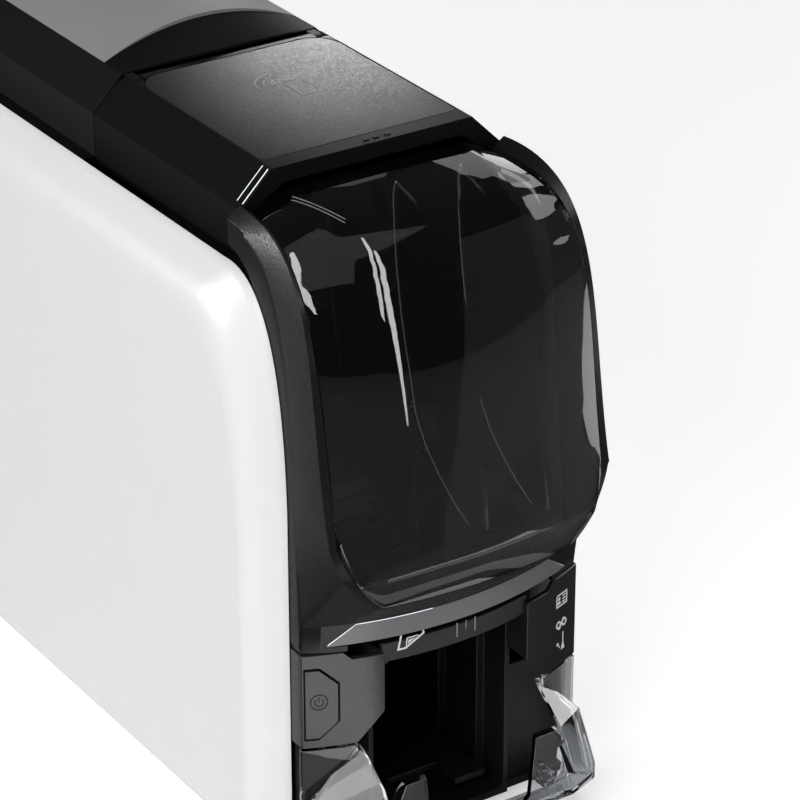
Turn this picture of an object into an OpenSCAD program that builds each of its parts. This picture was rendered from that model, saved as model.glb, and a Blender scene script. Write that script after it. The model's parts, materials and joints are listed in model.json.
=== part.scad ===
// Desktop card printer with a hinged window cover.
// Millimetres. +Z is up, the front faces -Y, and the origin is the middle of the footprint on the desk.

/* [Overall size] */
// Width across the white side panels
width = 157.6; // [142:0.2:173]
// Depth from the bulge of the window to the rear face
depth = 394; // [355:1:433]
// Height from the desk to the crown of the rear housing
height = 306.5; // [276:0.5:336]

/* [Front] */
// How far the window bulges ahead of the front corners
window_reach = 33; // [32:0.5:36]
// Height of the seam between the cover and the lower front
seam_z = 108; // [106:0.5:112]
// Radius of the front's bow, seen from above
bow_r = 158; // [143:1:190]
// Rise of the rear housing's crown above the cover's flat top
cap_rise = 14.5; // [12:0.5:16]
// Half width of the card opening between the two lower panels
opening_half = 34.3; // [34.3:0.1:35.5]
// Depth of the lower front panels, seen from the side
fascia_t = 2.5; // [2:0.1:3]

/* [Side panels] */
// Thickness of a side panel, edge to outer face
panel_t = 12.3; // [11:0.1:14]
// Drop from the cover's flat top to the top edge of a side panel
panel_drop = 32; // [31:0.5:36]
// Set-back of a side panel's front edge behind the front corner
panel_setback = 8; // [7:0.5:10]
// Wall of a side panel
panel_wall = 2.5; // [2:0.1:3]

/* [Cover] */
// Set-in of the cover's rear part from the edge of a side panel
cover_inset = 6.5; // [6:0.5:9]
// Width of the 45 degree shoulder beside the flat top
shoulder = 14; // [12:0.5:15]
// Wall of the cover mouldings
cover_wall = 2.6; // [2.2:0.1:3]
// Wall of the window
lens_t = 2.2; // [1.8:0.1:2.6]
// Width of the frame beside the window
frame_side = 5.5; // [5:0.1:6]
// Thickness of the three fins inside the window
fin_t = 1.4; // [1.2:0.1:2]
// Distance between two fins
fin_pitch = 30; // [26:1:31]
// Radius of the rolled rear edge that turns on the hinge pins
hinge_r = 5; // [4.5:0.1:6]
// Radius of the cover's hinge pins
hinge_pin_r = 2.5; // [2:0.1:3]

/* [Card path] */
// Width of a card
card_w = 54; // [53.9:0.1:54.1]
// Length of a card
card_l = 85.6; // [85.4:0.1:85.8]
// Height of the card path
path_z = 98; // [97:0.5:99]
// Radius of the printing roller
platen_r = 8; // [7.5:0.1:8.5]
// Radius of the card feeding roller
feed_r = 9; // [8.5:0.1:9.5]
// Radius of the roller shafts
shaft_r = 3; // [2.5:0.1:3.5]

/* [Gears] */
// Module of the gear teeth
gear_m = 1; // [1]
// Teeth of the motor's pinion
pinion_teeth = 15; // [14:1:16]
// Teeth of the printing roller's gear
platen_teeth = 44; // [42:1:45]
// Teeth of the idler gear
idler_teeth = 34; // [33:1:36]
// Teeth of the feeding roller's gear
feed_teeth = 30; // [28:1:32]
// Width of the gears
gear_w = 5; // [4:0.5:6]

/* [Ribbon] */
// Radius of the ribbon cores
core_r = 8; // [7:0.5:9]
// Radius of the unused ribbon roll
supply_r = 18; // [14:0.5:19]
// Radius of the used ribbon roll
takeup_r = 11; // [10:0.5:13]
// Width of the ribbon rolls
ribbon_w = 60; // [58:1:62]

/* [Card bin door] */
// Height of the door's arms above the desk
door_top = 64; // [63:0.5:64.3]
// Wall of the clear door
door_wall = 2.4; // [2:0.1:2.8]
// Width of the scoop's rim beside the finger notch
notch_rim = 8.5; // [7:0.5:12]

/* [Fits] */
// Gap between neighbouring mouldings
gap = 0.3; // [0.3:0.05:0.4]
// Radial clearance of a running pin or shaft
run_gap = 0.05; // [0.03:0.01:0.08]

/* [Hidden] */
$fn = 64;

// Main planes
half = width / 2;
core = half - panel_t;
front_y = -depth / 2 + window_reach;
back_y = depth / 2;
deck_z = height - cap_rise;
cover_h = deck_z - seam_z;
panel_top = deck_z - panel_drop;
foot_h = 4;
floor_z = foot_h;
tray_t = 4;
deck_floor = floor_z + tray_t;
moulding_half = core - gap;
cover_half = core - cover_inset;
deck_half = cover_half - shoulder;
lens_half = core - frame_side;
bow_cy = front_y + sqrt(bow_r * bow_r - core * core);
function bow_y(x) = bow_cy - sqrt(bow_r * bow_r - x * x);

// Cover hinge axis
hinge_y = front_y + 157;
hinge_z = deck_z - hinge_r;
rear_front_y = hinge_y + hinge_r + 0.5;

// Roller and gear axes, each a [y, z] place
platen_at = [front_y + 102, path_z - platen_r - 0.4];
feed_at = [front_y + 36, path_z + feed_r + 0.4];
gear_x = -core + 3.5;
function pitch_r(teeth) = gear_m * teeth / 2;
// The lower crossing of two circles about a and b
function crossing(a, ra, b, rb) =
    let (d = norm(b - a), u = (b - a) / d, s = (ra * ra - rb * rb + d * d) / (2 * d),
         h = sqrt(ra * ra - s * s))
    a + u * s + [u.y, -u.x] * h;
idler_at = crossing(feed_at, pitch_r(feed_teeth) + pitch_r(idler_teeth),
    platen_at, pitch_r(platen_teeth) + pitch_r(idler_teeth));
motor_angle = -60;
motor_at = platen_at + (pitch_r(platen_teeth) + pitch_r(pinion_teeth)) * [cos(motor_angle), sin(motor_angle)];
motor_size = 32;
takeup_at = [front_y + 66, seam_z + 44];
supply_at = [front_y + 126, seam_z + 52];

// ---- Shared shapes ----

// A cubic curve through the first and last of four points
function curve(p, t) = pow(1 - t, 3) * p[0] + 3 * pow(1 - t, 2) * t * p[1]
    + 3 * (1 - t) * t * t * p[2] + pow(t, 3) * p[3];
function curve_pts(p, n) = [for (i = [0:n]) curve(p, i / n)];
function unit(v) = v / norm(v);
// The inward normals of a [y, z] path that runs from the top rear to the bottom front
function inward(path) = [for (i = [0:len(path) - 1])
    let (d = unit(path[min(i + 1, len(path) - 1)] - path[max(i - 1, 0)])) [-d.y, d.x]];
function reverse(list) = [for (i = [len(list) - 1:-1:0]) list[i]];

// A solid through closed outlines with equal numbers of points
module loft(sections) {
    n = len(sections[0]);
    m = len(sections);
    points = [for (s = sections) each s];
    sides = [for (j = [0:m - 2]) for (i = [0:n - 1])
        let (a = j * n + i, b = j * n + (i + 1) % n) each [[a, b, b + n], [a, b + n, a + n]]];
    // Each end is closed by a strip between the outline's two halves
    end = [for (i = [0:ceil(n / 2) - 2]) each concat([[i, i + 1, n - 1 - i]],
        i + 1 < n - 2 - i ? [[i + 1, n - 2 - i, n - 1 - i]] : [])];
    polyhedron(points, concat([for (f = end) reverse(f)], sides, [for (f = end) [for (i = f) (m - 1) * n + i]]));
}

// A [y, z] outline carried along X from x0 to x1
module side_profile(x0, x1, outline) {
    translate([x0, 0, 0]) rotate([90, 0, 90]) linear_extrude(x1 - x0) polygon(outline);
}

// An [x, z] outline carried along Y from y0 to y1
module front_profile(y0, y1, outline) {
    translate([0, y1, 0]) rotate([90, 0, 0]) linear_extrude(y1 - y0) polygon(outline);
}

// A box between two corners
module block(a, b) {
    translate(a) cube(b - a);
}

// A cylinder along X from x0 to x1 about the [y, z] place at
module axle(x0, x1, at, r) {
    translate([x0, at.x, at.y]) rotate([0, 90, 0]) cylinder(h = x1 - x0, r = r);
}

module mirror_copy() {
    children();
    mirror([1, 0, 0]) children();
}

// The bowed wall of the front: its outer face stands out from the bow, and it is t thick
module bow_wall(out, t, z0, z1) {
    intersection() {
        translate([0, bow_cy, z0]) difference() {
            cylinder(h = z1 - z0, r = bow_r + out, $fn = 180);
            translate([0, 0, -1]) cylinder(h = z1 - z0 + 2, r = bow_r + out - t, $fn = 180);
        }
        block([-moulding_half, front_y - 40, z0], [moulding_half, front_y + 30, z1]);
    }
}

// ---- White side panels ----

// Four rounded corners of a side panel, drawn in by i at the front, top, rear and bottom
corner_n = 7;
function panel_outline(x, f, t, r, b) =
    let (y0 = front_y + panel_setback + f, y1 = back_y - 8 - r, z1 = panel_top - t, z0 = floor_z + 2 + b,
         pts = concat(
            curve_pts([[y0, z1 - 92], [y0 + 1.5, z1 - 37], [y0 + 12, z1 + 3], [y0 + 42, z1]], corner_n),
            curve_pts([[y1 - 34, z1], [y1 - 10, z1], [y1, z1 - 12], [y1, z1 - 40]], corner_n),
            curve_pts([[y1, z0 + 18], [y1, z0 + 6], [y1 - 6, z0], [y1 - 18, z0]], corner_n),
            curve_pts([[y0 + 20, z0], [y0 + 8, z0], [y0 + 1, z0 + 7], [y0, z0 + 20]], corner_n)))
    [for (p = pts) [x, p.x, p.y]];

bevel_y = 16;
bevel_z = 23;
bevel_end = 9;
module panel_shell(wall) {
    loft([for (s = [[0, 0], [0.68, 0.46], [0.92, 0.8], [1, 1.05]])
        panel_outline(core + (panel_t - wall) * s.x - (wall > 0 && s.x == 0 ? 1 : 0),
            bevel_y * s.y + wall, bevel_z * s.y + wall, bevel_end * s.y + wall, bevel_end * s.y + wall)]);
}

module side_panel() {
    color("white") difference() {
        panel_shell(0);
        panel_shell(panel_wall);
    }
    // Ribs that lean on the housing inside
    color("white") for (y = [front_y + 60, back_y - 60])
        block([core, y, floor_z + 40], [core + panel_t - panel_wall + 0.4, y + 2, panel_top - 60]);
}

module side_panel_right() { side_panel(); }
module side_panel_left() { mirror([1, 0, 0]) side_panel(); }

// ---- Base ----

foot_r = 9;
foot_x = core - 14;
module rubber_feet() {
    color("dimgray") for (x = [-foot_x, foot_x], y = [front_y + 34, back_y - 32])
        translate([x, y, 0]) cylinder(h = foot_h, r = foot_r);
}

// Hinge axis of the card bin door
door_at = [front_y + 3, floor_z + 6];
door_pin_r = 2;
door_lug_w = 4;
door_lug_x = moulding_half - 4 * door_lug_w - 0.2;
lug_r = 4;
module base_tray() {
    color("black") {
        block([-moulding_half, front_y + 8, floor_z], [moulding_half, back_y - 4, deck_floor]);
        mirror_copy() {
            axle(door_lug_x + door_lug_w + gap, door_lug_x + 2 * door_lug_w, door_at, lug_r);
            block([door_lug_x + door_lug_w + gap, door_at.x, floor_z],
                [door_lug_x + 2 * door_lug_w, front_y + 9, door_at.y + lug_r]);
            axle(door_lug_x + 0.4, door_lug_x + 2 * door_lug_w, door_at, door_pin_r);
        }
    }
}

// ---- Lower front ----

fascia_top = seam_z - gap;
fascia_bottom = door_top + 1.2;
corner_drop = 12.5;
slot_lip = 3.6;
return_t = 2;
return_y = front_y + 14;
// Outline of a lower panel on the right side, in [x, z]
fascia_outline = [[opening_half, fascia_bottom + corner_drop], [opening_half + 11, fascia_bottom],
    [moulding_half, fascia_bottom], [moulding_half, fascia_top], [opening_half + 16.5, fascia_top],
    [opening_half + 13, fascia_top - slot_lip], [opening_half, fascia_top - slot_lip]];

module fascia_plate() {
    intersection() {
        bow_wall(0, fascia_t, fascia_bottom, fascia_top);
        front_profile(front_y - 30, front_y + 10, fascia_outline);
    }
    // Returns along the card opening and along the outer side
    block([opening_half, bow_y(opening_half) + 1, fascia_bottom + corner_drop],
        [opening_half + return_t, return_y, fascia_top - slot_lip]);
    block([moulding_half - return_t, bow_y(moulding_half - return_t) + 1, fascia_bottom],
        [moulding_half, return_y, fascia_top]);
}

module icon_fascia() {
    color("black") fascia_plate();
}

button_w = 12;
button_cut = 7;
button_gap = 0.9;
stem_r = 2;
button_x = [-moulding_half + 1.2, -moulding_half + 1.2 + button_w];
button_z = [fascia_bottom + 4.6, fascia_top - button_cut];
stem_at = [button_x[0] + button_w / 2, (button_z[0] + button_z[1]) / 2];
// The button's half octagon in [x, z], grown by g
function button_outline(g) = let (in = g * 0.4, x = button_x[1] - button_cut + in)
    [[button_x[0] - in, button_z[0] - g], [x, button_z[0] - g],
     [button_x[1] + g, button_z[0] + button_cut - in], [button_x[1] + g, button_z[1] - button_cut + in],
     [x, button_z[1] + g], [button_x[0] - in, button_z[1] + g]];

module power_fascia() {
    color("dimgray") {
        difference() {
            mirror([1, 0, 0]) fascia_plate();
            front_profile(front_y - 30, front_y + 5, button_outline(button_gap));
        }
        // Guide plate behind the button, with the stem's hole
        difference() {
            block([-moulding_half + return_t, front_y + 8, button_z[0] - 3],
                [-opening_half - return_t, front_y + 10, button_z[1] + 3]);
            translate([stem_at.x, front_y + 7, stem_at.y]) rotate([-90, 0, 0])
                cylinder(h = 4, r = stem_r + 0.2);
        }
    }
}

module power_button() {
    color("dimgray") {
        intersection() {
            bow_wall(0.3, 3, button_z[0] - 1, button_z[1] + 1);
            front_profile(front_y - 30, front_y + 5, button_outline(0));
        }
        translate([stem_at.x, front_y - 1, stem_at.y]) rotate([-90, 0, 0]) cylinder(h = 12, r = stem_r);
    }
}

// ---- Card hopper ----

hopper_wall = 2.3;
hopper_half = opening_half - hopper_wall;
hopper_front = front_y + 1;
hopper_back = front_y + 6.4 + card_l;
hopper_low = path_z - 20;
module card_hopper() {
    color("black") {
        block([-opening_half, hopper_front, deck_floor], [opening_half, hopper_back + 2, deck_floor + 3]);
        mirror_copy() {
            side_profile(hopper_half, opening_half, [[hopper_front, deck_floor], [hopper_back + 2, deck_floor],
                [hopper_back + 2, hopper_low], [hopper_back - 16, path_z - 4], [hopper_front, path_z - 4]]);
            // Flange behind the door's arms
            block([opening_half, front_y + 9, deck_floor],
                [moulding_half - return_t - gap - 0.1, front_y + 11, door_top - 0.4]);
        }
        block([-opening_half, hopper_back, deck_floor], [opening_half, hopper_back + 2, hopper_low]);
        // Ribs that guide the stack
        mirror_copy() for (y = [front_y + 16, front_y + 44, front_y + 72])
            block([card_w / 2 + 1.4, y, deck_floor + 3], [hopper_half, y + 2, hopper_low]);
    }
}

lift_t = 3;
lift_z = deck_floor + 8;
thumb_half = 12;
module lift_plate() {
    color("dimgray") {
        difference() {
            block([-card_w / 2, front_y + 7, lift_z], [card_w / 2, hopper_back - 2, lift_z + lift_t]);
            block([-thumb_half, front_y, lift_z - 1], [thumb_half, front_y + 22, lift_z + lift_t + 1]);
        }
        for (x = [-thumb_half - 6, thumb_half + 6])
            block([x - 1.5, front_y + 30, deck_floor + 3 + gap], [x + 1.5, hopper_back - 10, lift_z]);
    }
}

// Upper guide over the card slot
module card_guide() {
    color("dimgray") {
        intersection() {
            bow_wall(-2, 2, path_z + 0.8, seam_z - 0.8);
            block([-opening_half, front_y - 40, path_z], [opening_half, front_y + 10, seam_z]);
        }
        intersection() {
            translate([0, bow_cy, path_z + 0.8]) cylinder(h = 2, r = bow_r - 2, $fn = 180);
            block([-opening_half, front_y - 40, path_z], [opening_half, feed_at.x - feed_r - 2, seam_z]);
        }
        mirror_copy() block([card_w / 2 + 1, front_y - 4, path_z - 4],
            [opening_half, feed_at.x - feed_r - 2, path_z + 0.8]);
    }
}

// ---- Frames ----

frame_x = core - 14.5;
frame_t = 2;
frame_top = seam_z + 16;
module frame_plate(bores) {
    difference() {
        side_profile(frame_x, frame_x + frame_t, [[front_y + 15, deck_floor], [rear_front_y, deck_floor],
            [rear_front_y, frame_top - 30], [rear_front_y - 20, frame_top], [front_y + 24, frame_top],
            [front_y + 15, frame_top - 9]]);
        for (at = bores) axle(frame_x - 1, frame_x + frame_t + 1, at, shaft_r + run_gap);
        // Cut-out beside the card stack
        side_profile(frame_x - 1, frame_x + frame_t + 1, [[front_y + 30, deck_floor + 14],
            [hopper_back, deck_floor + 14], [hopper_back, deck_floor + 34], [front_y + 30, deck_floor + 40]]);
    }
    // Foot flange on the tray
    block([frame_x - 8, front_y + 30, deck_floor], [frame_x, rear_front_y - 10, deck_floor + 1.6]);
}

module frame_right() {
    color("silver") frame_plate([platen_at, feed_at]);
}

module frame_left() {
    color("silver") difference() {
        mirror([1, 0, 0]) frame_plate([platen_at, feed_at]);
        axle(-frame_x - frame_t - 1, -frame_x + 1, motor_at, 6.2);
    }
    // Stud of the idler gear
    color("silver") axle(gear_x - gear_w / 2 - 0.6, -frame_x - frame_t, idler_at, shaft_r);
}

module chamber_wall() {
    side_profile(core - 4.5, core - 2.5, [[front_y + 22, seam_z + 18], [rear_front_y, seam_z + 18],
        [rear_front_y, panel_top - 7], [front_y + 41, panel_top - 7], [front_y + 22, panel_top - 40]]);
    block([cover_half + 0.5, front_y + 50, panel_top - 8], [moulding_half, rear_front_y, panel_top - 5]);
}
module chamber_wall_right() { color("black") chamber_wall(); }
module chamber_wall_left() { color("black") mirror([1, 0, 0]) chamber_wall(); }

// ---- Rear housing ----

// Cross section of the housing in [x, z], drawn in by d
function housing_outline(d) = let (ledge = panel_top - 0.6 - d, chamfer = deck_z - shoulder - d * 0.4,
    right = [[deck_half - d * 0.4, deck_z - d], [cover_half - d, chamfer], [cover_half - d, ledge],
        [moulding_half - d, ledge], [moulding_half - d, deck_floor + d]])
    concat([for (p = reverse(right)) [-p.x, p.y]], right);

crown_n = 12;
ramp_y = front_y + 177;
crown_y = ramp_y + 24;
// A slice at y of the crown over the housing's flat top, top high in the middle and low deep
function crown_slice(y, top, low) = concat(
    [for (i = [-crown_n:crown_n]) let (u = i / crown_n) [-deck_half * u, y, deck_z + top * (1 - u * u) + 0.01]],
    [[-deck_half, y, deck_z - low], [deck_half, y, deck_z - low]]);

housing_wall = 3;
io_z = deck_floor + 34;
ear_x = deck_half - 5;
ear_w = 4;
lock_x = [30, 37];
inlet_x = [-44, -30];
inlet_z = [io_z - 7, io_z + 7];
usb_x = [-24, -12];
usb_z = [io_z - 6, io_z + 5];
module rear_housing() {
    color("black") {
        difference() {
            union() {
                front_profile(rear_front_y, back_y, housing_outline(0));
                // Ramp up to the pale cap
                loft([crown_slice(rear_front_y + 0.5, 0.6, 1), crown_slice(ramp_y, cap_rise - 4.5, 1)]);
            }
            front_profile(rear_front_y + housing_wall, back_y - housing_wall, housing_outline(housing_wall));
            // Seats of the rear sockets
            block([inlet_x[0] - gap, back_y - 5, inlet_z[0] - gap], [inlet_x[1] + gap, back_y + 1, inlet_z[1] + gap]);
            block([usb_x[0] - gap, back_y - 5, usb_z[0] - gap], [usb_x[1] + gap, back_y + 1, usb_z[1] + gap]);
            // Slot for a security lock
            block([lock_x[0], back_y - 4, io_z - 1.5], [lock_x[1], back_y + 1, io_z + 1.5]);
        }
        // Hinge ears
        mirror_copy() difference() {
            union() {
                axle(ear_x, ear_x + ear_w, [hinge_y, hinge_z], hinge_r - 0.4);
                block([ear_x, hinge_y, hinge_z - hinge_r + 0.4],
                    [ear_x + ear_w, rear_front_y + 1, hinge_z + hinge_r - 0.4]);
            }
            axle(ear_x - 1, ear_x + ear_w + 1, [hinge_y, hinge_z], hinge_pin_r);
        }
    }
}

pin_in = ear_x - 5;
pin_out = ear_x + ear_w + 2;
module hinge_pins() {
    color("silver") mirror_copy() axle(pin_in, pin_out, [hinge_y, hinge_z], hinge_pin_r);
}

// Pale cap that carries the crown on to the rear
module top_cap() {
    color("lightgray")
        loft([for (s = [[ramp_y, cap_rise - 3], [ramp_y + 8, cap_rise - 1.2], [crown_y, cap_rise],
            [back_y - 10, cap_rise], [back_y - 2, cap_rise - 5]]) crown_slice(s.x, s.y, 0)]);
}

board_t = 1.6;
board_x = moulding_half - 22.2;
board_z = [40, 180];
module circuit_board() {
    face = board_x + board_t;
    color("darkgreen")
        block([board_x, rear_front_y + 20, board_z[0]], [face, back_y - 30, board_z[1]]);
    // Standoffs on the housing's wall
    color("gray") for (y = [rear_front_y + 28, back_y - 38], z = [board_z[0] + 8, board_z[1] - 8])
        axle(face, moulding_half - housing_wall, [y, z], 3);
    // Heat sink, socket and capacitors
    color("dimgray") {
        block([board_x - 5, rear_front_y + 50, 80], [board_x, rear_front_y + 74, 104]);
        block([board_x - 10, rear_front_y + 36, 130], [board_x, rear_front_y + 60, 146]);
        for (i = [0:2]) axle(board_x - 14, board_x, [rear_front_y + 100 + 14 * i, 150], 5);
    }
}

module power_inlet() {
    mid = (inlet_x[0] + inlet_x[1]) / 2;
    color("black") difference() {
        block([inlet_x[0], back_y - 16, inlet_z[0]], [inlet_x[1], back_y - 0.6, inlet_z[1]]);
        translate([mid, back_y - 12, io_z]) rotate([-90, 0, 0]) cylinder(h = 14, r = 3.2);
    }
    color("silver") translate([mid, back_y - 12.5, io_z]) rotate([-90, 0, 0]) cylinder(h = 9, r = 1);
}

module usb_socket() {
    color("silver") difference() {
        block([usb_x[0], back_y - 18, usb_z[0]], [usb_x[1], back_y - 0.6, usb_z[1]]);
        block([usb_x[0] + 1, back_y - 16, usb_z[0] + 1], [usb_x[1] - 1, back_y, usb_z[1] - 1]);
    }
    color("white")
        block([usb_x[0] + 3.5, back_y - 16.5, usb_z[0] + 3.5], [usb_x[1] - 3.5, back_y - 4, usb_z[1] - 4]);
}

// ---- Drive ----

// A gear outline whose first tooth points along +X
tooth = [[-0.31, -1.15], [-0.21, 0], [-0.1, 0.8], [0.1, 0.8], [0.21, 0], [0.31, -1.15]];
function gear_pts(teeth) = let (r = pitch_r(teeth), step = 360 / teeth)
    [for (i = [0:teeth - 1]) for (k = tooth) let (a = (i + k.x) * step) (r + k.y * gear_m) * [cos(a), sin(a)]];

// Bearing of b from a, in degrees
function bearing(a, b) = atan2(b.y - a.y, b.x - a.x);
// Phase of a gear at b that meshes with a gear at a of phase pa
function meshed(a, ta, pa, b, tb) = let (dir = bearing(a, b), f = (dir - pa) / (360 / ta))
    dir + 180 + (f - floor(f) + 0.5) * 360 / tb;
platen_phase = 0;
idler_phase = meshed(platen_at, platen_teeth, platen_phase, idler_at, idler_teeth);
feed_phase = meshed(idler_at, idler_teeth, idler_phase, feed_at, feed_teeth);
pinion_phase = meshed(platen_at, platen_teeth, platen_phase, motor_at, pinion_teeth);

// A gear about the [y, z] place at, with a bore and a thinner web
module spur_gear(at, teeth, phase, bore) {
    r = pitch_r(teeth);
    translate([gear_x - gear_w / 2, at.x, at.y]) rotate([90, 0, 90]) rotate(phase) difference() {
        linear_extrude(gear_w) polygon(gear_pts(teeth));
        translate([0, 0, -1]) cylinder(h = gear_w + 2, r = bore);
        if (r > 12) for (z = [-0.01, gear_w - 1.5]) translate([0, 0, z]) difference() {
            cylinder(h = 1.51, r = r - 3.2);
            translate([0, 0, -1]) cylinder(h = 4, r = bore + 2.6);
        }
    }
}

shaft_end = frame_x + frame_t + 1.6;
module roller(at, r, w) {
    color("dimgray") axle(-w / 2, w / 2, at, r);
    color("silver") {
        axle(gear_x - gear_w / 2 - 0.4, -w / 2, at, shaft_r);
        axle(w / 2, shaft_end, at, shaft_r);
    }
}

module platen_roller() { roller(platen_at, platen_r, card_w + 2); }
module feed_roller() { roller(feed_at, feed_r, 30); }
module platen_gear() { color("ivory") spur_gear(platen_at, platen_teeth, platen_phase, shaft_r); }
module feed_gear() { color("ivory") spur_gear(feed_at, feed_teeth, feed_phase, shaft_r); }
module idler_gear() { color("ivory") spur_gear(idler_at, idler_teeth, idler_phase, shaft_r + run_gap); }
pinion_shaft_r = 2;
module motor_pinion() {
    color("goldenrod") spur_gear(motor_at, pinion_teeth, pinion_phase, pinion_shaft_r);
    color("silver") axle(gear_x - gear_w / 2 - 0.4, -frame_x + 1.9, motor_at, pinion_shaft_r);
}

module feed_motor() {
    s = motor_size / 2;
    color("dimgray") difference() {
        union() {
            block([-frame_x, motor_at.x - s, motor_at.y - s], [-frame_x + 24, motor_at.x + s, motor_at.y + s]);
            axle(-frame_x - frame_t, -frame_x, motor_at, 6);
        }
        axle(-frame_x - frame_t - 1, -frame_x + 2, motor_at, pinion_shaft_r + run_gap);
    }
}

// ---- Cover ----

// Curves of the cover's front, as [x, y, z] from the front corner and the seam, top first
face_low = 43.7;
mid_curve = [[0, 65, cover_h - 7], [0, -20, cover_h - 10], [0, 11.5 - window_reach, 0.79 * cover_h],
    [0, -window_reach, face_low]];
edge_curve = [[lens_half - 6.5, 50, cover_h - 16], [lens_half + 5.3, -19, cover_h - 10],
    [lens_half - 0.2, -6, 0.625 * cover_h], [lens_half + 1, 9.6 - window_reach, face_low]];
rim_end = moulding_half - 0.6;
rim_curve = [[lens_half, 48, cover_h - 11.5], [rim_end - 0.1, -21, cover_h - 6],
    [rim_end + 0.3, -2.6, 0.59 * cover_h], [rim_end, 8.5 - window_reach, face_low]];
side_curve = [[moulding_half, 48, cover_h - 15.5], [moulding_half, 16, cover_h - 16],
    [moulding_half, 7, 0.76 * cover_h], [moulding_half, 2.5, 0.38 * cover_h]];
function placed(p) = [p.x, front_y + p.y, seam_z + p.z];
function mix(a, b, k) = a + (b - a) * k;

// A place on the window: s runs from side to side and t from the top down
lens_flat = lens_half - 21;
function lens_at(s, t) =
    let (p = curve(mid_curve, t), e = curve(edge_curve, t), u = abs(s), w = (1 - t) * (1 - t),
         g = w * max(0, (u * e.x - lens_flat) / (e.x - lens_flat)) + (1 - w) * u * u)
    [s * e.x, mix(p.y, e.y, g), mix(p.z, e.z, g)];
// A line that rises in a quarter round from low at the middle to the corner at x
function round_up(x, flat, wide, low, high) =
    let (u = min(1, max(0, abs(x) - flat) / wide)) low + 13 * u + high * (1 - sqrt(1 - u * u));
lens_turn = lens_half - 17;
lens_corner = 18;
lens_low = 27;
lip_h = 16.7;
lip_in = 3.3;
function lens_foot(x) = round_up(x, lens_turn, lens_corner, lens_low, 20);
// Height where the window's face ends and its lower lip starts
function lip_top(x) = max(lens_foot(x) + 0.8, face_low - 3.5 * pow(x / (lens_half - 5), 2));
function face_end(s, lo = 0.6, hi = 1.1, n = 16) = let (m = (lo + hi) / 2, p = lens_at(s, m))
    n == 0 ? m : p.z > lip_top(p.x) ? face_end(s, m, hi, n - 1) : face_end(s, lo, m, n - 1);
lens_n = 14;
// The window's line at s: down its face, then down its lip
function lens_line(s) = let (t1 = face_end(s), e = lens_at(s, t1),
    k = (e.z - min(e.z - 0.8, lens_foot(e.x))) / lip_h)
    [for (p = concat([for (i = [0:lens_n]) lens_at(s, t1 * i / lens_n)],
        [e + [0, 0.6 * lip_in, -0.45 * lip_h] * k, e + [0, lip_in, -lip_h] * k])) placed(p)];
// The same line drawn in by d, its lip in the direction of the face above
function drawn_in(line, d) = let (n = inward([for (p = line) [p.y, p.z]]))
    [for (i = [0:len(line) - 1]) let (m = n[min(i, lens_n - 1)]) line[i] + [0, m.x, m.y] * d];
lens_s = [0.16, 0.32, 0.48, 0.62, 0.73, 0.82, 0.89, 0.94, 0.975, 1];

module cover_window() {
    color("dimgray", 0.5) {
        loft([for (s = concat(-reverse(lens_s), [0], lens_s)) let (line = lens_line(s))
            concat(drawn_in(line, lens_t), reverse(line))]);
        // Three fins that keep the ribbon off the window
        for (i = [-1:1]) let (path = drawn_in(lens_line(i * fin_pitch / lens_half), lens_t * 0.5))
            side_profile(i * fin_pitch - fin_t / 2, i * fin_pitch + fin_t / 2, concat(
                [for (p = path) if (p.y < front_y + 30 && p.z > seam_z + 45) [p.y, p.z]],
                [for (q = [[-18, 0.25], [6, 0.337], [19, 0.435], [23, 0.52], [29, 0.64], [33, 0.75], [34, 0.9],
                    [33, 0.943]]) [front_y + q.x, seam_z + q.y * cover_h]]));
    }
}

bezel_depth = 13;
bezel_n = 10;
// Sections of the frame round the window, from the corner at the deck down to the middle of the chin:
// inner back, knee, outer back, back of the skirt, crease, rim, inner edge
function side_section(t) = let (e = placed(lens_at(1, t)) + [gap, 0, 0], r = placed(curve(rim_curve, t)),
    c = placed(curve(side_curve, t)), turn = 52 * (1 - t), back = [0, cos(turn), -sin(turn)] * bezel_depth)
    [e + back * 0.8, mix(e, c, 0.5) + back * 0.9, c + back, c + back * 0.25 - [0.05, 0, 0], c, r, e];
chin_h = 12.9;
chin_t = 5.5;
chin_turn = moulding_half - 16.2;
rim_turn = rim_end - 19.6;
knee = 0.4565 * cover_h;
// A section of the lower corner and chin: k runs from 0 at the side to 1 at the middle
function chin_section(k) = let (
    q = min(1, k / 0.5), h = max(0, k - 0.5) / 0.5,
    x = k < 0.5 ? mix(lens_half + 1, lens_turn, 1 - cos(90 * q)) : mix(lens_turn, 0, h),
    line = lens_line(x / (lens_half + 0.6)), e = line[len(line) - 1],
    down = min(1, 2 * q),
    mx = k < 0.5 ? mix(moulding_half, chin_turn, max(0, 2 * q - 1)) : mix(chin_turn, 0, h),
    mz = mix(knee, chin_h, down), low_z = seam_z + mix(knee - 6, 0, down),
    y = bow_y(mx), skirt = max(0, mz - chin_h) * 0.06,
    rim_x = mix(rim_end, rim_turn, 1 - cos(90 * q)) * (1 - h),
    rim_z = round_up(rim_x, rim_turn, rim_end - rim_turn + 0.2, lens_low - 1, 21),
    rim_y = mix(6, 12.5, pow(rim_x / rim_end, 2)) - window_reach)
    let (inner = [e.x + (1 - q) * gap, e.y + mix(10, 12, q), e.z - 1.5 * q],
        outer = [mx, y + mix(13, chin_t, q) + skirt, low_z])
    [inner, mix(mix(inner, outer, 0.5), [mx - min(3, 6 - 6 * q), y + chin_t, seam_z + chin_h + 2], down * down),
     outer,
     [mx, y + mix(3, 0, q) + skirt * (1 - q), low_z], [mx, y - 0.9 * q + skirt, seam_z + mz],
     [rim_x, front_y + rim_y, seam_z + rim_z], [e.x + gap * (1 - q), e.y, e.z - gap * q]];

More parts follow.
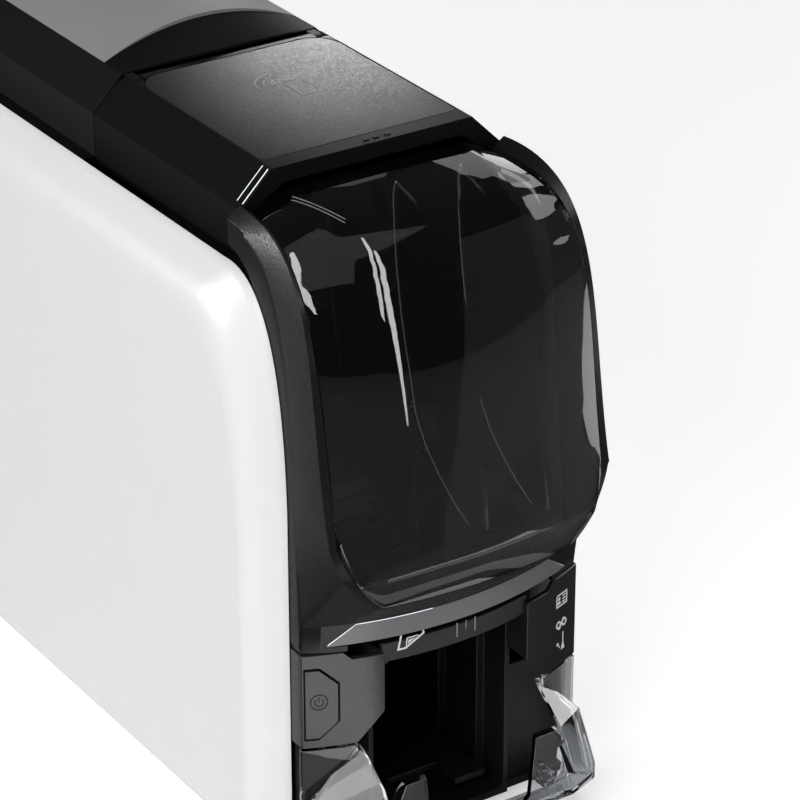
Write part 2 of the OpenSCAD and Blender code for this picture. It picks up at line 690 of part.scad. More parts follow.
// Outline of the light bar in [x, z], grown by g
bar_half = moulding_half - 9.2;
bar_low = seam_z + 3;
bar_top = seam_z + 12;
function bar_outline(g) = let (low = bar_half + g, high = bar_half - 11 + g * 0.5)
    [[-low, bar_low - g], [low, bar_low - g], [low, bar_low + 0.6], [high, bar_top + g],
     [-high, bar_top + g], [-low, bar_low + 0.6]];

chin_k = [0.08, 0.13, 0.18, 0.25, 0.31, 0.37, 0.43, 0.5, 0.625, 0.75, 0.875];
deck_front = front_y + 48.4;

module cover_bezel() {
    side_end = face_end(1);
    right = concat([for (i = [0:bezel_n]) side_section(side_end * i / bezel_n)],
        [for (k = chin_k) chin_section(k)]);
    left = [for (section = right) [for (p = section) [-p.x, p.y, p.z]]];
    color("black") difference() {
        loft(concat(left, [chin_section(1)], reverse(right)));
        // The end at the deck
        block([-width, deck_front - gap, 0], [width, deck_front + 40, height]);
        // Recess of the light bar, and the gap under it
        intersection() {
            bow_wall(2, 4 + gap, seam_z, bar_top + 2);
            front_profile(front_y - 30, front_y + 10, bar_outline(gap));
        }
        block([8 - bar_half, front_y - 40, seam_z - 1], [bar_half - 8, front_y + 20, bar_low]);
    }
}

module light_bar() {
    color("lightgray", 0.6) intersection() {
        bow_wall(0.3, 2.3, seam_z, bar_top + 2);
        front_profile(front_y - 30, front_y + 10, bar_outline(0));
    }
}

pad_t = 1.4;
pad_front = front_y + 57;
pad_back = front_y + 155;
// Outline of the touch pad, with a radius r at its front corners and at its rear ones, grown by g
module pad_outline(g, r = [4, 13]) {
    hull() for (s = [-1, 1]) {
        translate([s * (deck_half - 0.5 - r[0]), pad_front + r[0]]) circle(r = r[0] + g, $fn = 48);
        translate([s * (deck_half - 0.5 - r[1]), pad_back - r[1]]) circle(r = r[1] + g, $fn = 48);
    }
}

deck_skirt = panel_top - 3;
module cover_deck() {
    // A roof outline: wide at the skirt, then a chamfer up to a narrower top
    function roof(wide, low, eave, narrow, top) = [[-wide, low], [wide, low], [wide, eave], [narrow, top],
        [-narrow, top], [-wide, eave]];
    w = cover_wall;
    outer = roof(cover_half, deck_skirt, deck_z - shoulder, deck_half, deck_z);
    inner = roof(cover_half - w, deck_skirt - 1, deck_z - shoulder - w * 0.4, deck_half - w * 0.4,
        deck_z - w - pad_t);
    under = roof(cover_half - w, deck_skirt - 1, deck_z - 17.3, lens_flat + 0.4, deck_z - 7 + gap);
    knuckle = hinge_y - hinge_r - 1.5;
    rear = hinge_y + hinge_r;
    color("black") difference() {
        intersection() {
            front_profile(deck_front, rear, outer);
            union() {
                block([-cover_half, deck_front, deck_skirt], [cover_half, hinge_y, deck_z]);
                axle(-cover_half, cover_half, [hinge_y, hinge_z], hinge_r);
                block([-cover_half, hinge_y, deck_skirt], [cover_half, rear, hinge_z]);
            }
        }
        // The hollow under the top
        front_profile(pad_front + 3, knuckle, inner);
        front_profile(knuckle - 1, rear - w, [for (p = inner) [p.x, min(p.y, hinge_z - hinge_r - 2.5)]]);
        // The window runs in under the front edge
        front_profile(deck_front - 1, pad_front + 4, under);
        // Seat of the touch pad
        translate([0, 0, deck_z - pad_t]) linear_extrude(pad_t + 1) pad_outline(gap);
        // Slots and bores of the hinge
        mirror_copy() {
            axle(ear_x - 0.4, ear_x + ear_w + 0.4, [hinge_y, hinge_z], hinge_r + 0.1);
            block([ear_x - 0.4, hinge_y, hinge_z - hinge_r - 0.1], [ear_x + ear_w + 0.4, rear + 1, deck_z + 1]);
            block([ear_x - 0.4, hinge_y - hinge_r - 0.1, hinge_z], [ear_x + ear_w + 0.4, rear, deck_z + 1]);
            axle(pin_in - 0.5, pin_out + 0.3, [hinge_y, hinge_z], hinge_pin_r + run_gap);
        }
    }
}

module touch_pad() {
    color("dimgray") translate([0, 0, deck_z - pad_t]) linear_extrude(pad_t) pad_outline(0);
}

cheek_x = frame_x - 9.7;
cheek_t = 2.5;
ceiling = deck_z - cover_wall - pad_t;
head_front = front_y + 50;
head_top = deck_z - 19;
plate_t = 2.5;
// Spring window of the front plate
spring_x = [cheek_x - 20.3, cheek_x - 2.3];
spring_z = [deck_z - 92, deck_z - 72];
module head_carriage() {
    color("gray") {
        mirror_copy() difference() {
            side_profile(cheek_x, cheek_x + cheek_t, [[head_front, head_top], [head_front + 17, head_top],
                [head_front + 19, ceiling], [front_y + 136, ceiling], [front_y + 148, seam_z + 60],
                [front_y + 140, seam_z + 24], [front_y + 112, seam_z + 10], [front_y + 108, path_z + 4],
                [front_y + 88, path_z + 4], [front_y + 84, seam_z + 14], [head_front + 6, seam_z + 26],
                [head_front, seam_z + 40]]);
            axle(cheek_x - 1, cheek_x + cheek_t + 1, takeup_at, shaft_r + run_gap);
            axle(cheek_x - 1, cheek_x + cheek_t + 1, supply_at, shaft_r + run_gap);
        }
        // Front plate, deeper on the right
        difference() {
            front_profile(head_front, head_front + plate_t, [[-cheek_x, head_top], [-cheek_x, deck_z - 66],
                [spring_x[0] - 9, deck_z - 66], [spring_x[0] - 9, spring_z[0] - 6], [cheek_x, spring_z[0] - 6],
                [cheek_x, head_top]]);
            // Round hole, slanted slot and spring window
            translate([-14.3, head_front - 1, deck_z - 52.5]) rotate([-90, 0, 0]) cylinder(h = 5, r = 3.6);
            front_profile(head_front - 1, head_front + 4, [[-2, head_top + 5], [4, head_top + 5],
                [8, head_top - 15], [2, head_top - 15]]);
            block([spring_x[0], head_front - 1, spring_z[0]], [spring_x[1], head_front + 4, spring_z[1]]);
        }
        // Blocks on the front plate and teeth in the spring window
        block([-17.5, head_front - 5, deck_z - 48], [9, head_front, deck_z - 43]);
        block([-28, head_front - 3, deck_z - 32], [-4, head_front, head_top + 6]);
        for (i = [0:5]) block([spring_x[0] + 5 + 2.4 * i, head_front, spring_z[0]],
            [spring_x[0] + 6.4 + 2.4 * i, head_front + plate_t, spring_z[0] + 6]);
    }
}

head_z = path_z + 0.9;
module print_head() {
    color("silver") {
        block([-cheek_x, front_y + 94, path_z + 8], [cheek_x, front_y + 106, path_z + 12]);
        for (i = [0:4]) block([-card_w / 2, front_y + 95 + 2.2 * i, path_z + 12],
            [card_w / 2, front_y + 96 + 2.2 * i, path_z + 20]);
    }
    color("ivory") block([-card_w / 2 - 2, front_y + 96, head_z], [card_w / 2 + 2, front_y + 105, path_z + 8]);
}

// A ribbon core with a flange at each end and a toothed drive end
module ribbon_core(at) {
    end = cheek_x + cheek_t;
    axle(-end, end, at, shaft_r);
    axle(-cheek_x + 3, cheek_x - 3, at, core_r);
    for (s = [-1, 1]) axle(s * (ribbon_w / 2 + 2) - 1, s * (ribbon_w / 2 + 2) + 1, at, core_r + 2.4);
}

module ribbon_roll(at, r) {
    difference() {
        axle(-ribbon_w / 2, ribbon_w / 2, at, r);
        axle(-ribbon_w / 2 - 1, ribbon_w / 2 + 1, at, core_r);
    }
}

module supply_core() { color("white") ribbon_core(supply_at); }
module takeup_core() { color("white") ribbon_core(takeup_at); }
module supply_ribbon() { color("black") ribbon_roll(supply_at, supply_r); }
module takeup_ribbon() { color("black") ribbon_roll(takeup_at, takeup_r); }

// ---- Card bin door ----

door_y = front_y - 4;
scoop_y = front_y - 29;
door_low = floor_z + 2.2;
rim_x = moulding_half - 21.2;
scoop_half = rim_x - 9;
notch_half = scoop_half - notch_rim;
// The scoop as a hull of three thin slices, drawn in by d
module scoop_body(d) {
    s = moulding_half - d;
    hull() {
        front_profile(door_y - 0.5, door_y + (d > 0 ? 4 : 0), [[rim_x - d, door_top - 1.5],
            [s, door_top - 23 - d], [s, door_low + d], [-s, door_low + d], [-s, door_top - 23 - d],
            [-rim_x + d, door_top - 1.5]]);
        block([-s, front_y - 16.5 + d, 13 + d], [s, front_y - 16 + d, 20.5 - d]);
        front_profile(scoop_y + d, scoop_y + 0.5 + d, [[-scoop_half, door_top - 11],
            [scoop_half, door_top - 11], [rim_x + 1 - d, 30], [rim_x + 1 - d, 19 + d],
            [-rim_x - 1 + d, 19 + d], [-rim_x - 1 + d, 30]]);
    }
}

module bin_door() {
    color("lightgray", 0.4) {
        difference() {
            union() {
                intersection() {
                    bow_wall(-0.2, door_wall, door_low, door_top);
                    union() {
                        mirror_copy()
                            block([rim_x, front_y - 30, door_low], [moulding_half, front_y + 10, door_top]);
                        block([-moulding_half, front_y - 30, door_low],
                            [moulding_half, front_y + 10, door_low + 8]);
                    }
                }
                scoop_body(0);
            }
            scoop_body(door_wall);
            // Open top between the arms, and the finger notch
            block([-rim_x + door_wall, scoop_y + door_wall, 44],
                [rim_x - door_wall, front_y + 10, door_top + 6]);
            front_profile(scoop_y - 2, scoop_y + door_wall + 1, [[-notch_half, door_top],
                [-notch_half + 3.4, 26], [-notch_half + 9, 20], [notch_half - 9, 20], [notch_half - 3.4, 26],
                [notch_half, door_top]]);
        }
        // Hinge lugs
        mirror_copy() difference() {
            union() {
                axle(door_lug_x, door_lug_x + door_lug_w, door_at, lug_r);
                block([door_lug_x, front_y - 4.5, door_at.y - 3.6],
                    [door_lug_x + door_lug_w, door_at.x, door_at.y + lug_r]);
            }
            axle(door_lug_x - 1, door_lug_x + door_lug_w + 1, door_at, door_pin_r + run_gap);
        }
    }
}

base_tray();
rubber_feet();
side_panel_left();
side_panel_right();
power_fascia();
icon_fascia();
card_hopper();
card_guide();
frame_left();
frame_right();
chamber_wall_left();
chamber_wall_right();
rear_housing();
top_cap();
hinge_pins();
circuit_board();
feed_motor();
power_inlet();
usb_socket();
lift_plate();
power_button();
bin_door();
cover_bezel();
cover_window();
light_bar();
cover_deck();
touch_pad();
head_carriage();
print_head();
supply_core();
supply_ribbon();
takeup_core();
takeup_ribbon();
platen_roller();
platen_gear();
feed_roller();
feed_gear();
idler_gear();
motor_pinion();
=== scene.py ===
# %% [markdown]
# # Dressing a desktop card printer
# The printer comes in as a fixed model made of separate solids in metres, with its front towards -Y.
# This lesson gives every solid its finish, and rebuilds the mouldings whose curves and edges are what
# the eye goes to first. Nothing here moves or resizes the model.

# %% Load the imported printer
import json
import math

import bmesh
import bpy
import numpy as np
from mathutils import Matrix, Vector

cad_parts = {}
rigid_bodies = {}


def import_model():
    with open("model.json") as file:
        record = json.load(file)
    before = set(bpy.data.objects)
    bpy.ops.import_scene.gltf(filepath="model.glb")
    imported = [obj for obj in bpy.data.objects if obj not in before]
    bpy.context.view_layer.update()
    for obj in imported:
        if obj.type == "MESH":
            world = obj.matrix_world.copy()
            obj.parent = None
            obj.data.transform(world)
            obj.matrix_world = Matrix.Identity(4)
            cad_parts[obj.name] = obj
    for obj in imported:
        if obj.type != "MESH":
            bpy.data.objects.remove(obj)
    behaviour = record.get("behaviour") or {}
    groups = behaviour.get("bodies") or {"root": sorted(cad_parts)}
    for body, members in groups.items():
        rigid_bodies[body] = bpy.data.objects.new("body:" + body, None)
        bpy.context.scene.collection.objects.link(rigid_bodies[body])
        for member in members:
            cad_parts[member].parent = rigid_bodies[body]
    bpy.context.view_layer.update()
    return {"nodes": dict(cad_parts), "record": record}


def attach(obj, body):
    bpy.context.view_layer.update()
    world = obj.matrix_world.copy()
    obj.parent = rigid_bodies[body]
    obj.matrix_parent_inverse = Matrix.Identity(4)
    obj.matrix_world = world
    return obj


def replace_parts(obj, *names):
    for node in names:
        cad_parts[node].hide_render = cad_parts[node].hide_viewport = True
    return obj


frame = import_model()

# %% [markdown]
# ## Camera
# A product camera stands well back with a long lens, so that upright edges stay nearly parallel. The lens
# of 162 mm on a 36 mm sensor sees the printer from above its left front corner.

# %% Camera
camera = bpy.data.objects.new("camera", bpy.data.cameras.new("camera"))
bpy.context.collection.objects.link(camera)
camera.data.sensor_width = 36
camera.data.lens = 162
camera.location = (-0.69719, -1.18330, 0.83862)
camera.rotation_euler = (math.radians(62.7), 0, math.radians(-33.6))
bpy.context.scene.camera = camera
print("camera stands", round(camera.location.length, 2), "m from the middle of the base")

# %% [markdown]
# ## Colours and nodes
# Colours are written as sRGB hex values, the way a paint card or a browser gives them. Shaders work with
# linear light, so one function turns hex into linear. A second one adds a node, sets its inputs and makes
# its links, and it serves for every node in this file.

# %% Colour and node helpers
def linear(hex_colour):
    parts = [int(hex_colour[i:i + 2], 16) / 255 for i in (1, 3, 5)]
    return [c / 12.92 if c <= 0.04045 else ((c + 0.055) / 1.055) ** 2.4 for c in parts] + [1.0]


def add(tree, kind, inputs=None, **settings):
    node = tree.nodes.new(kind)
    for key, value in settings.items():
        setattr(node, key, value)
    for key, value in (inputs or {}).items():
        if isinstance(value, bpy.types.NodeSocket):
            tree.links.new(value, node.inputs[key])
        else:
            node.inputs[key].default_value = value
    return node


def new_material(name, **principled):
    material = bpy.data.materials.new(name)
    material.use_nodes = True
    tree = material.node_tree
    shader = tree.nodes["Principled BSDF"]
    for key, value in principled.items():
        shader.inputs[key.replace("_", " ")].default_value = value
    return material, tree, shader


def surface_place(tree):
    return add(tree, "ShaderNodeTexCoord").outputs["Object"]


def scaled(colour, factor):
    return [min(1, c * factor) for c in colour[:3]] + [1]


print("ABS black as linear light:", [round(c, 4) for c in linear("#101112")[:3]])

# %% [markdown]
# ## Moulded plastics
# Nearly all of the housing is ABS. It leaves the mould with the skin of the tool: polished steel gives a
# gloss, blasted steel a satin, and spark-eroded steel a fine pebble that hides fingerprints. The same
# shader serves for all of them, with its own colour, its own gloss, and a grain in real millimetres. The
# colour drifts by a few per cent over some centimetres, as moulded pigment does. Photographs of surfaces
# could do the same, but noise needs no unwrapping and keeps its real size on every piece.

# %% Moulded ABS in its finishes
def moulded(name, hex_colour, roughness, grain_mm, depth_mm, drift=0.06, sparkle=0.0, sheen=0.5):
    material, tree, shader = new_material(name, IOR=1.53, Specular_IOR_Level=sheen)
    place = surface_place(tree)
    clouds_per_metre = 30.0
    cloud = add(tree, "ShaderNodeTexNoise", {"Vector": place, "Scale": clouds_per_metre, "Detail": 2.0})
    pebble = add(tree, "ShaderNodeTexNoise", {"Vector": place, "Scale": 1000 / grain_mm, "Detail": 2.0,
                                              "Roughness": 0.6})
    colour = linear(hex_colour)
    shade = add(tree, "ShaderNodeMix", {"Factor": cloud.outputs["Fac"], "A": scaled(colour, 1 - drift),
                                        "B": scaled(colour, 1 + drift)}, data_type="RGBA")
    spread = 0.05 + sparkle
    gloss = add(tree, "ShaderNodeMapRange", {"Value": pebble.outputs["Fac"], "From Min": 0.35,
                                             "From Max": 0.65, "To Min": roughness + spread,
                                             "To Max": roughness - spread})
    relief = add(tree, "ShaderNodeBump", {"Height": pebble.outputs["Fac"], "Distance": depth_mm / 1000,
                                          "Strength": 1.0})
    tree.links.new(shade.outputs["Result"], shader.inputs["Base Color"])
    tree.links.new(gloss.outputs["Result"], shader.inputs["Roughness"])
    tree.links.new(relief.outputs["Normal"], shader.inputs["Normal"])
    return material


white_abs = moulded("white satin ABS", "#EFEFEE", 0.36, 0.5, 0.02, drift=0.012)
black_satin_abs = moulded("black satin ABS", "#101112", 0.36, 0.5, 0.02, sheen=0.35)
black_pebbled_abs = moulded("black pebbled ABS", "#151618", 0.46, 0.9, 0.12, drift=0.12, sparkle=0.06)
# Painted shade: the cover's top and the ramp take darker copies of the black ABS with a weaker sheen, so
# these upward faces show less of the room's light than real ABS would.
deck_shaded_abs = moulded("black satin ABS of the cover's top", "#0D0E0F", 0.40, 0.5, 0.02, sheen=0.16)
ramp_shaded_abs = moulded("matt black ABS of the ramp", "#090A0A", 0.52, 0.6, 0.02, sheen=0.2)
pale_abs = moulded("pale grey ABS", "#8E8F8F", 0.5, 0.6, 0.04, drift=0.03)
graphite_abs = moulded("polished graphite ABS", "#2C2D2F", 0.2, 1.5, 0.004, drift=0.03)
icon_abs = moulded("dark satin ABS of the lamp panel", "#1B1C1D", 0.34, 0.5, 0.012)
carriage_abs = moulded("dark grey glass-filled ABS", "#4A4B4D", 0.5, 0.8, 0.04)
bay_abs = moulded("black ABS of the card bay", "#0B0B0C", 0.5, 0.6, 0.03)
guide_abs = moulded("grey ABS of the card guide", "#242527", 0.4, 0.6, 0.02)
print("finishes moulded in ABS:", sum("ABS" in m.name for m in bpy.data.materials))

# %% [markdown]
# ## The soft-touch pad
# The pad on top of the cover, where a card is tapped, is a separate moulding with a fine leather-like
# grain. Grain on a dark part shows as light: it breaks the reflection of the room into specks, so the pad
# gets a deeper relief than the smooth parts of the housing, and a broad sheen. Each grain is finer than a
# millimetre, so a bump in the shading is enough and no grain has to be modelled.

# %% Grained pad
pad_abs = moulded("grained charcoal soft-touch plastic", "#18191B", 0.42, 0.9, 0.05, drift=0.05,
                  sparkle=0.03)
print("the pad's finish:", pad_abs.name)

# %% [markdown]
# ## Clear and smoked plastics
# The window is smoked polycarbonate, 2.2 mm thick, and the card bin's door is the same plastic with a
# lighter tint. Polycarbonate bends light more than glass does, with an IOR of 1.585. The tint is in the
# plastic, and a ray crosses both faces, so the colour on each face is the square root of what the sheet
# lets through. The light bar is a frosted guide: it lets light in but no image through. A glass shader
# would do for the clear sheet alone; the general one is used, as it also does frosted and matted plastic.

# %% Polycarbonates
def polycarbonate(name, hex_colour, roughness, streak_mm, streak_depth, clear=1.0, sheen=0.5):
    material, tree, shader = new_material(name, IOR=1.585, Transmission_Weight=clear,
                                          Specular_IOR_Level=sheen)
    place = surface_place(tree)
    flow = add(tree, "ShaderNodeTexNoise", {"Vector": place, "Scale": 1000 / streak_mm, "Detail": 1.0})
    tint = add(tree, "ShaderNodeMix", {"Factor": flow.outputs["Fac"], "A": linear(hex_colour),
                                       "B": scaled(linear(hex_colour), 0.96)}, data_type="RGBA")
    haze = add(tree, "ShaderNodeMapRange", {"Value": flow.outputs["Fac"], "To Min": roughness,
                                            "To Max": roughness + 0.02})
    wave = add(tree, "ShaderNodeBump", {"Height": flow.outputs["Fac"], "Distance": streak_depth / 1000})
    tree.links.new(tint.outputs["Result"], shader.inputs["Base Color"])
    tree.links.new(haze.outputs["Result"], shader.inputs["Roughness"])
    tree.links.new(wave.outputs["Normal"], shader.inputs["Normal"])
    return material


smoked_pc = polycarbonate("smoked polycarbonate", "#7E7F81", 0.0, 40, 0.01)
clear_pc = polycarbonate("clear tinted polycarbonate", "#C9CBCE", 0.0, 12, 0.02)
guide_pc = polycarbonate("frosted polycarbonate light guide", "#7C7E81", 0.3, 8, 0.01, clear=0.3)
fin_pc = polycarbonate("matted smoked polycarbonate", "#77787A", 0.1, 40, 0.01, sheen=0.12)
print("polycarbonates:", sum("polycarbonate" in m.name for m in bpy.data.materials))

# %% [markdown]
# ## Metals
# Zinc-plated sheet keeps the lines of the rolling mill, so its noise is stretched along one direction. A
# ground shaft and machined brass are finer and shorter in their lines. A brushed look could also come from
# an anisotropic gloss, but the lines are wide enough here to be drawn.

# %% Metals
def metal(name, hex_colour, roughness, line_mm, stretch):
    material, tree, shader = new_material(name, Metallic=1.0)
    place = surface_place(tree)
    lines_per_metre = 1000 / line_mm
    along = add(tree, "ShaderNodeMapping", {"Vector": place, "Scale": (lines_per_metre, lines_per_metre,
                                                                      lines_per_metre / stretch)})
    lines = add(tree, "ShaderNodeTexNoise", {"Vector": along.outputs["Vector"], "Scale": 1.0,
                                             "Detail": 3.0})
    shade = add(tree, "ShaderNodeMix", {"Factor": lines.outputs["Fac"], "A": linear(hex_colour),
                                        "B": scaled(linear(hex_colour), 0.85)}, data_type="RGBA")
    rub = add(tree, "ShaderNodeMapRange", {"Value": lines.outputs["Fac"], "To Min": roughness - 0.08,
                                           "To Max": roughness + 0.08})
    tree.links.new(shade.outputs["Result"], shader.inputs["Base Color"])
    tree.links.new(rub.outputs["Result"], shader.inputs["Roughness"])
    return material


zinc_steel = metal("zinc-plated steel sheet", "#B9BCC0", 0.36, 0.4, 12)
turned_steel = metal("ground steel shaft", "#C9CBCE", 0.24, 0.3, 1)
brass = metal("machined brass", "#C9A35C", 0.3, 0.3, 4)
print("metals:", sum(m.name in ("zinc-plated steel sheet", "ground steel shaft", "machined brass")
                     for m in bpy.data.materials))

# %% [markdown]
# ## Rubber, acetal, film, board and ink
# Rubber rollers are ground to a fine matt, gears and cores are moulded in acetal, and wound film shines
# like lacquer. Ink is a thin matt layer. All of them take the shader of the mouldings with other numbers.
# The cut edge of a clear part gathers light from its whole sheet; the last function paints that light in as
# a glow, a painted highlight.

# %% Rubber, acetal, film, board and ink
roller_rubber = moulded("ground platen rubber", "#1B1B1C", 0.62, 0.3, 0.03, drift=0.08)
foot_rubber = moulded("moulded foot rubber", "#222223", 0.7, 0.8, 0.05, drift=0.08)
acetal = moulded("natural acetal", "#DDDCD4", 0.34, 0.6, 0.01, drift=0.03)
ribbon_film = moulded("wound ribbon film", "#0D0D0F", 0.16, 2.0, 0.02, drift=0.2)
board_mask = moulded("green solder mask on glass epoxy", "#1E5A38", 0.35, 1.5, 0.02, drift=0.15)
pad_ink = moulded("grey pad-printed ink of the tap sign", "#727476", 0.5, 0.4, 0.01, drift=0.03)
dark_ink = moulded("black pad-printed ink", "#070708", 0.5, 0.4, 0.01, drift=0.03)
print_ink = moulded("white pad-printed ink", "#E4E4E4", 0.5, 0.4, 0.01, drift=0.03)
grey_ink = moulded("grey pad-printed ink", "#8B8C8E", 0.5, 0.4, 0.01, drift=0.03)


def glowing(material, hex_colour, strength):
    shader = material.node_tree.nodes["Principled BSDF"]
    shader.inputs["Emission Color"].default_value = linear(hex_colour)
    shader.inputs["Emission Strength"].default_value = strength
    return material


# Painted highlight: this material glows, though no lamp is in it, and lays bright lines on the edges of
# clear parts.
edge_glow_pc = moulded("polished edge of smoked polycarbonate", "#C4C6C9", 0.3, 1.5, 0.01)
glowing(edge_glow_pc, "#E6E9ED", 1.1)
print("materials so far:", len(bpy.data.materials))

# %% [markdown]
# ## Softened edges
# No moulding has a knife edge. A corner of even 0.4 mm catches a thin line of light, and that line tells
# the eye how big the thing is. Each straight-sided CAD solid is copied, its flat triangles are merged back
# into whole faces, and a bevel rounds what is left. The copy then stands for the solid. The shading could
# be rounded without any new faces, but a real bevel also shows in the outline.

# %% Body, slot and edges of a piece
record = frame["record"]
body_of_node = {node: body for body, nodes in record["behaviour"]["bodies"].items() for node in nodes}


def round_edges(piece, radius_mm, segments=2, sharp_deg=38):
    edge = piece.modifiers.new("rounded edge", "BEVEL")
    edge.width = radius_mm / 1000
    edge.segments = segments
    edge.limit_method = "ANGLE"
    edge.angle_limit = math.radians(sharp_deg)
    edge.miter_outer = "MITER_ARC"
    # A bevel alone bends the shading of the flat faces beside it; weighting by area keeps them flat
    flat = piece.modifiers.new("flat faces", "WEIGHTED_NORMAL")
    flat.weight = 100
    flat.keep_sharp = True


def settle(piece, body, finishes):
    bpy.context.collection.objects.link(piece)
    for finish in finishes if isinstance(finishes, (list, tuple)) else [finishes]:
        piece.data.materials.append(finish)
    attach(piece, body)
    return piece


# %% Copies of CAD solids with rounded edges
def dressed(node, finish, radius_mm, sharp_deg=38, same_place=2e-6, same_plane_deg=0.6):
    """A copy of a CAD solid with whole faces and rounded edges, which stands for the solid."""
    mesh = frame["nodes"][node].data.copy()
    mesh.materials.clear()
    shape = bmesh.new()
    shape.from_mesh(mesh)
    bmesh.ops.remove_doubles(shape, verts=shape.verts, dist=same_place)
    bmesh.ops.dissolve_limit(shape, angle_limit=math.radians(same_plane_deg), verts=shape.verts,
                             edges=shape.edges)
    for face in shape.faces:
        face.smooth = True
        face.material_index = 0
    for edge in shape.edges:
        edge.smooth = edge.is_manifold and edge.calc_face_angle(0) < math.radians(sharp_deg)
    shape.to_mesh(mesh)
    shape.free()
    piece = bpy.data.objects.new(node + "_moulding", mesh)
    settle(piece, body_of_node[node], finish)
    round_edges(piece, radius_mm, sharp_deg=sharp_deg)
    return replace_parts(piece, node)


# Node, finish, and radius of its edges in millimetres
for node, finish, radius in [
        ("power_fascia", graphite_abs, 0.5), ("icon_fascia", icon_abs, 0.5),
        ("power_button", graphite_abs, 0.5), ("card_hopper", bay_abs, 0.3),
        ("card_guide", guide_abs, 0.3), ("base_tray", bay_abs, 0.4),
        ("rear_housing", ramp_shaded_abs, 0.8), ("top_cap", pale_abs, 1.0), ("cover_deck", deck_shaded_abs, 0.7),
        ("touch_pad", pad_abs, 0.5), ("light_bar", guide_pc, 0.3), ("head_carriage", carriage_abs, 0.3),
        ("print_head", zinc_steel, 0.3), ("frame_left", zinc_steel, 0.2), ("frame_right", zinc_steel, 0.2),
        ("chamber_wall_left", bay_abs, 0.3), ("chamber_wall_right", bay_abs, 0.3),
        ("lift_plate", bay_abs, 0.4), ("bin_door", clear_pc, 0.6), ("rubber_feet", foot_rubber, 0.8),
        ("power_inlet", bay_abs, 0.4), ("usb_socket", zinc_steel, 0.2), ("circuit_board", board_mask, 0.1),
        ("feed_motor", zinc_steel, 0.5), ("hinge_pins", turned_steel, 0.3), ("supply_core", acetal, 0.3),
        ("takeup_core", acetal, 0.3), ("supply_ribbon", ribbon_film, 0.3),
        ("takeup_ribbon", ribbon_film, 0.3), ("platen_roller", roller_rubber, 0.3),
        ("feed_roller", roller_rubber, 0.3),
        ("platen_gear", acetal, 0.1), ("feed_gear", acetal, 0.1), ("idler_gear", acetal, 0.1),
        ("motor_pinion", brass, 0.1)]:
    dressed(node, finish, radius)

# %% [markdown]
# ## The front of the cover
# Two mouldings make the front: the smoked window, and the black frame that runs down both sides of it and
# closes in a chin below. Their shapes come from four curves that run from the top down: the middle line
# of the window, its edge, the rim of the frame, and the crease behind the rim. A cubic curve with four
# control points draws each one. The faces could be pushed into shape by hand, but shared curves keep the
# window and its frame parallel.
# Sizes here are in millimetres, counted from the front corner and from the seam above the card bay. A place
# on the window is given by s, from -1 at its left edge to 1 at its right, and t, from 0 at the top to 1.

# %% Curves of the cover's front
front_corner = -164.0
seam = 108.0
cover_top = 184.0
reach = 33.0
bow_radius = 158.0
core = 66.5
side_x = core - 0.3
foot_z = 43.7


def curve(points, t):
    p = np.array(points, float)
    t = np.asarray(t, float)[..., None]
    return (1 - t) ** 3 * p[0] + 3 * (1 - t) ** 2 * t * p[1] + 3 * (1 - t) * t * t * p[2] + t ** 3 * p[3]


middle_line = [[0, 65, cover_top - 7], [0, -20, cover_top - 10], [0, -21.5, 0.79 * cover_top],
               [0, -reach, foot_z]]
window_edge = [[54.5, 50, cover_top - 16], [66.3, -19, cover_top - 10], [60.8, -6, 0.625 * cover_top],
               [62, 9.6 - reach, foot_z]]
frame_rim = [[61, 48, cover_top - 11.5], [65.5, -21, cover_top - 6], [65.9, -2.6, 0.59 * cover_top],
             [65.6, 8.5 - reach, foot_z]]
side_crease = [[side_x, 48, cover_top - 15.5], [side_x, 16, cover_top - 16], [side_x, 7, 0.76 * cover_top],
               [side_x, 2.5, 0.38 * cover_top]]
print("middle of the window, half way:", curve(middle_line, 0.5).round(1))

# %% Points of the window
def mix(a, b, k):
    return a + (b - a) * k


def window_at(s, t, flat_half=40):
    """A point of the window, flat in the middle at the top and bowed all the way across below."""
    middle, edge, out = curve(middle_line, t), curve(window_edge, t), abs(s)
    topness = (1 - t) ** 2
    flat_top = max(0.0, (out * edge[0] - flat_half) / (edge[0] - flat_half))
    fall = mix(out * out, flat_top, topness)
    return np.array([s * edge[0], mix(middle[1], edge[1], fall), mix(middle[2], edge[2], fall)])


def round_up(x, flat, wide, low, high, slope=13):
    """A height that stays low along the flat middle and turns up in a round corner."""
    u = min(1.0, max(0.0, abs(x) - flat) / wide)
    return low + slope * u + high * (1 - math.sqrt(1 - u * u))


def lip_foot(x):
    return round_up(x, flat=44, wide=18, low=27, high=20)


def lip_top(x, sag=3.5, half=56, least_high=0.8):
    return max(lip_foot(x) + least_high, foot_z - sag * (x / half) ** 2)


def face_end(s):
    """The t at which the window's face turns into its lip, found by halving."""
    low, high = 0.6, 1.1
    for _ in range(20):
        half_way = (low + high) / 2
        p = window_at(s, half_way)
        low, high = (half_way, high) if p[2] > lip_top(p[0]) else (low, half_way)
    return half_way


def window_line(s, face_steps=44, lip_steps=4, lip_high=16.7, lip_back=3.3):
    """The window's outer line from top to foot, at one s."""
    last = face_end(s)
    face = [window_at(s, last * i / face_steps) for i in range(face_steps + 1)]
    end = face[-1]
    size = (end[2] - min(end[2] - 0.8, lip_foot(end[0]))) / lip_high
    lip = [end + np.array([0, lip_back * (1 - (1 - h) ** 1.8), -lip_high * h]) * size
           for h in np.linspace(0, 1, lip_steps + 1)[1:]]
    return np.array(face + lip)


def placed(points):
    return np.asarray(points, float) + [0, front_corner, seam]


window_lines = [placed(window_line(s)) for s in np.sin(np.linspace(-math.pi / 2, math.pi / 2, 61))]
print("window surface:", len(window_lines), "by", len(window_lines[0]), "points")
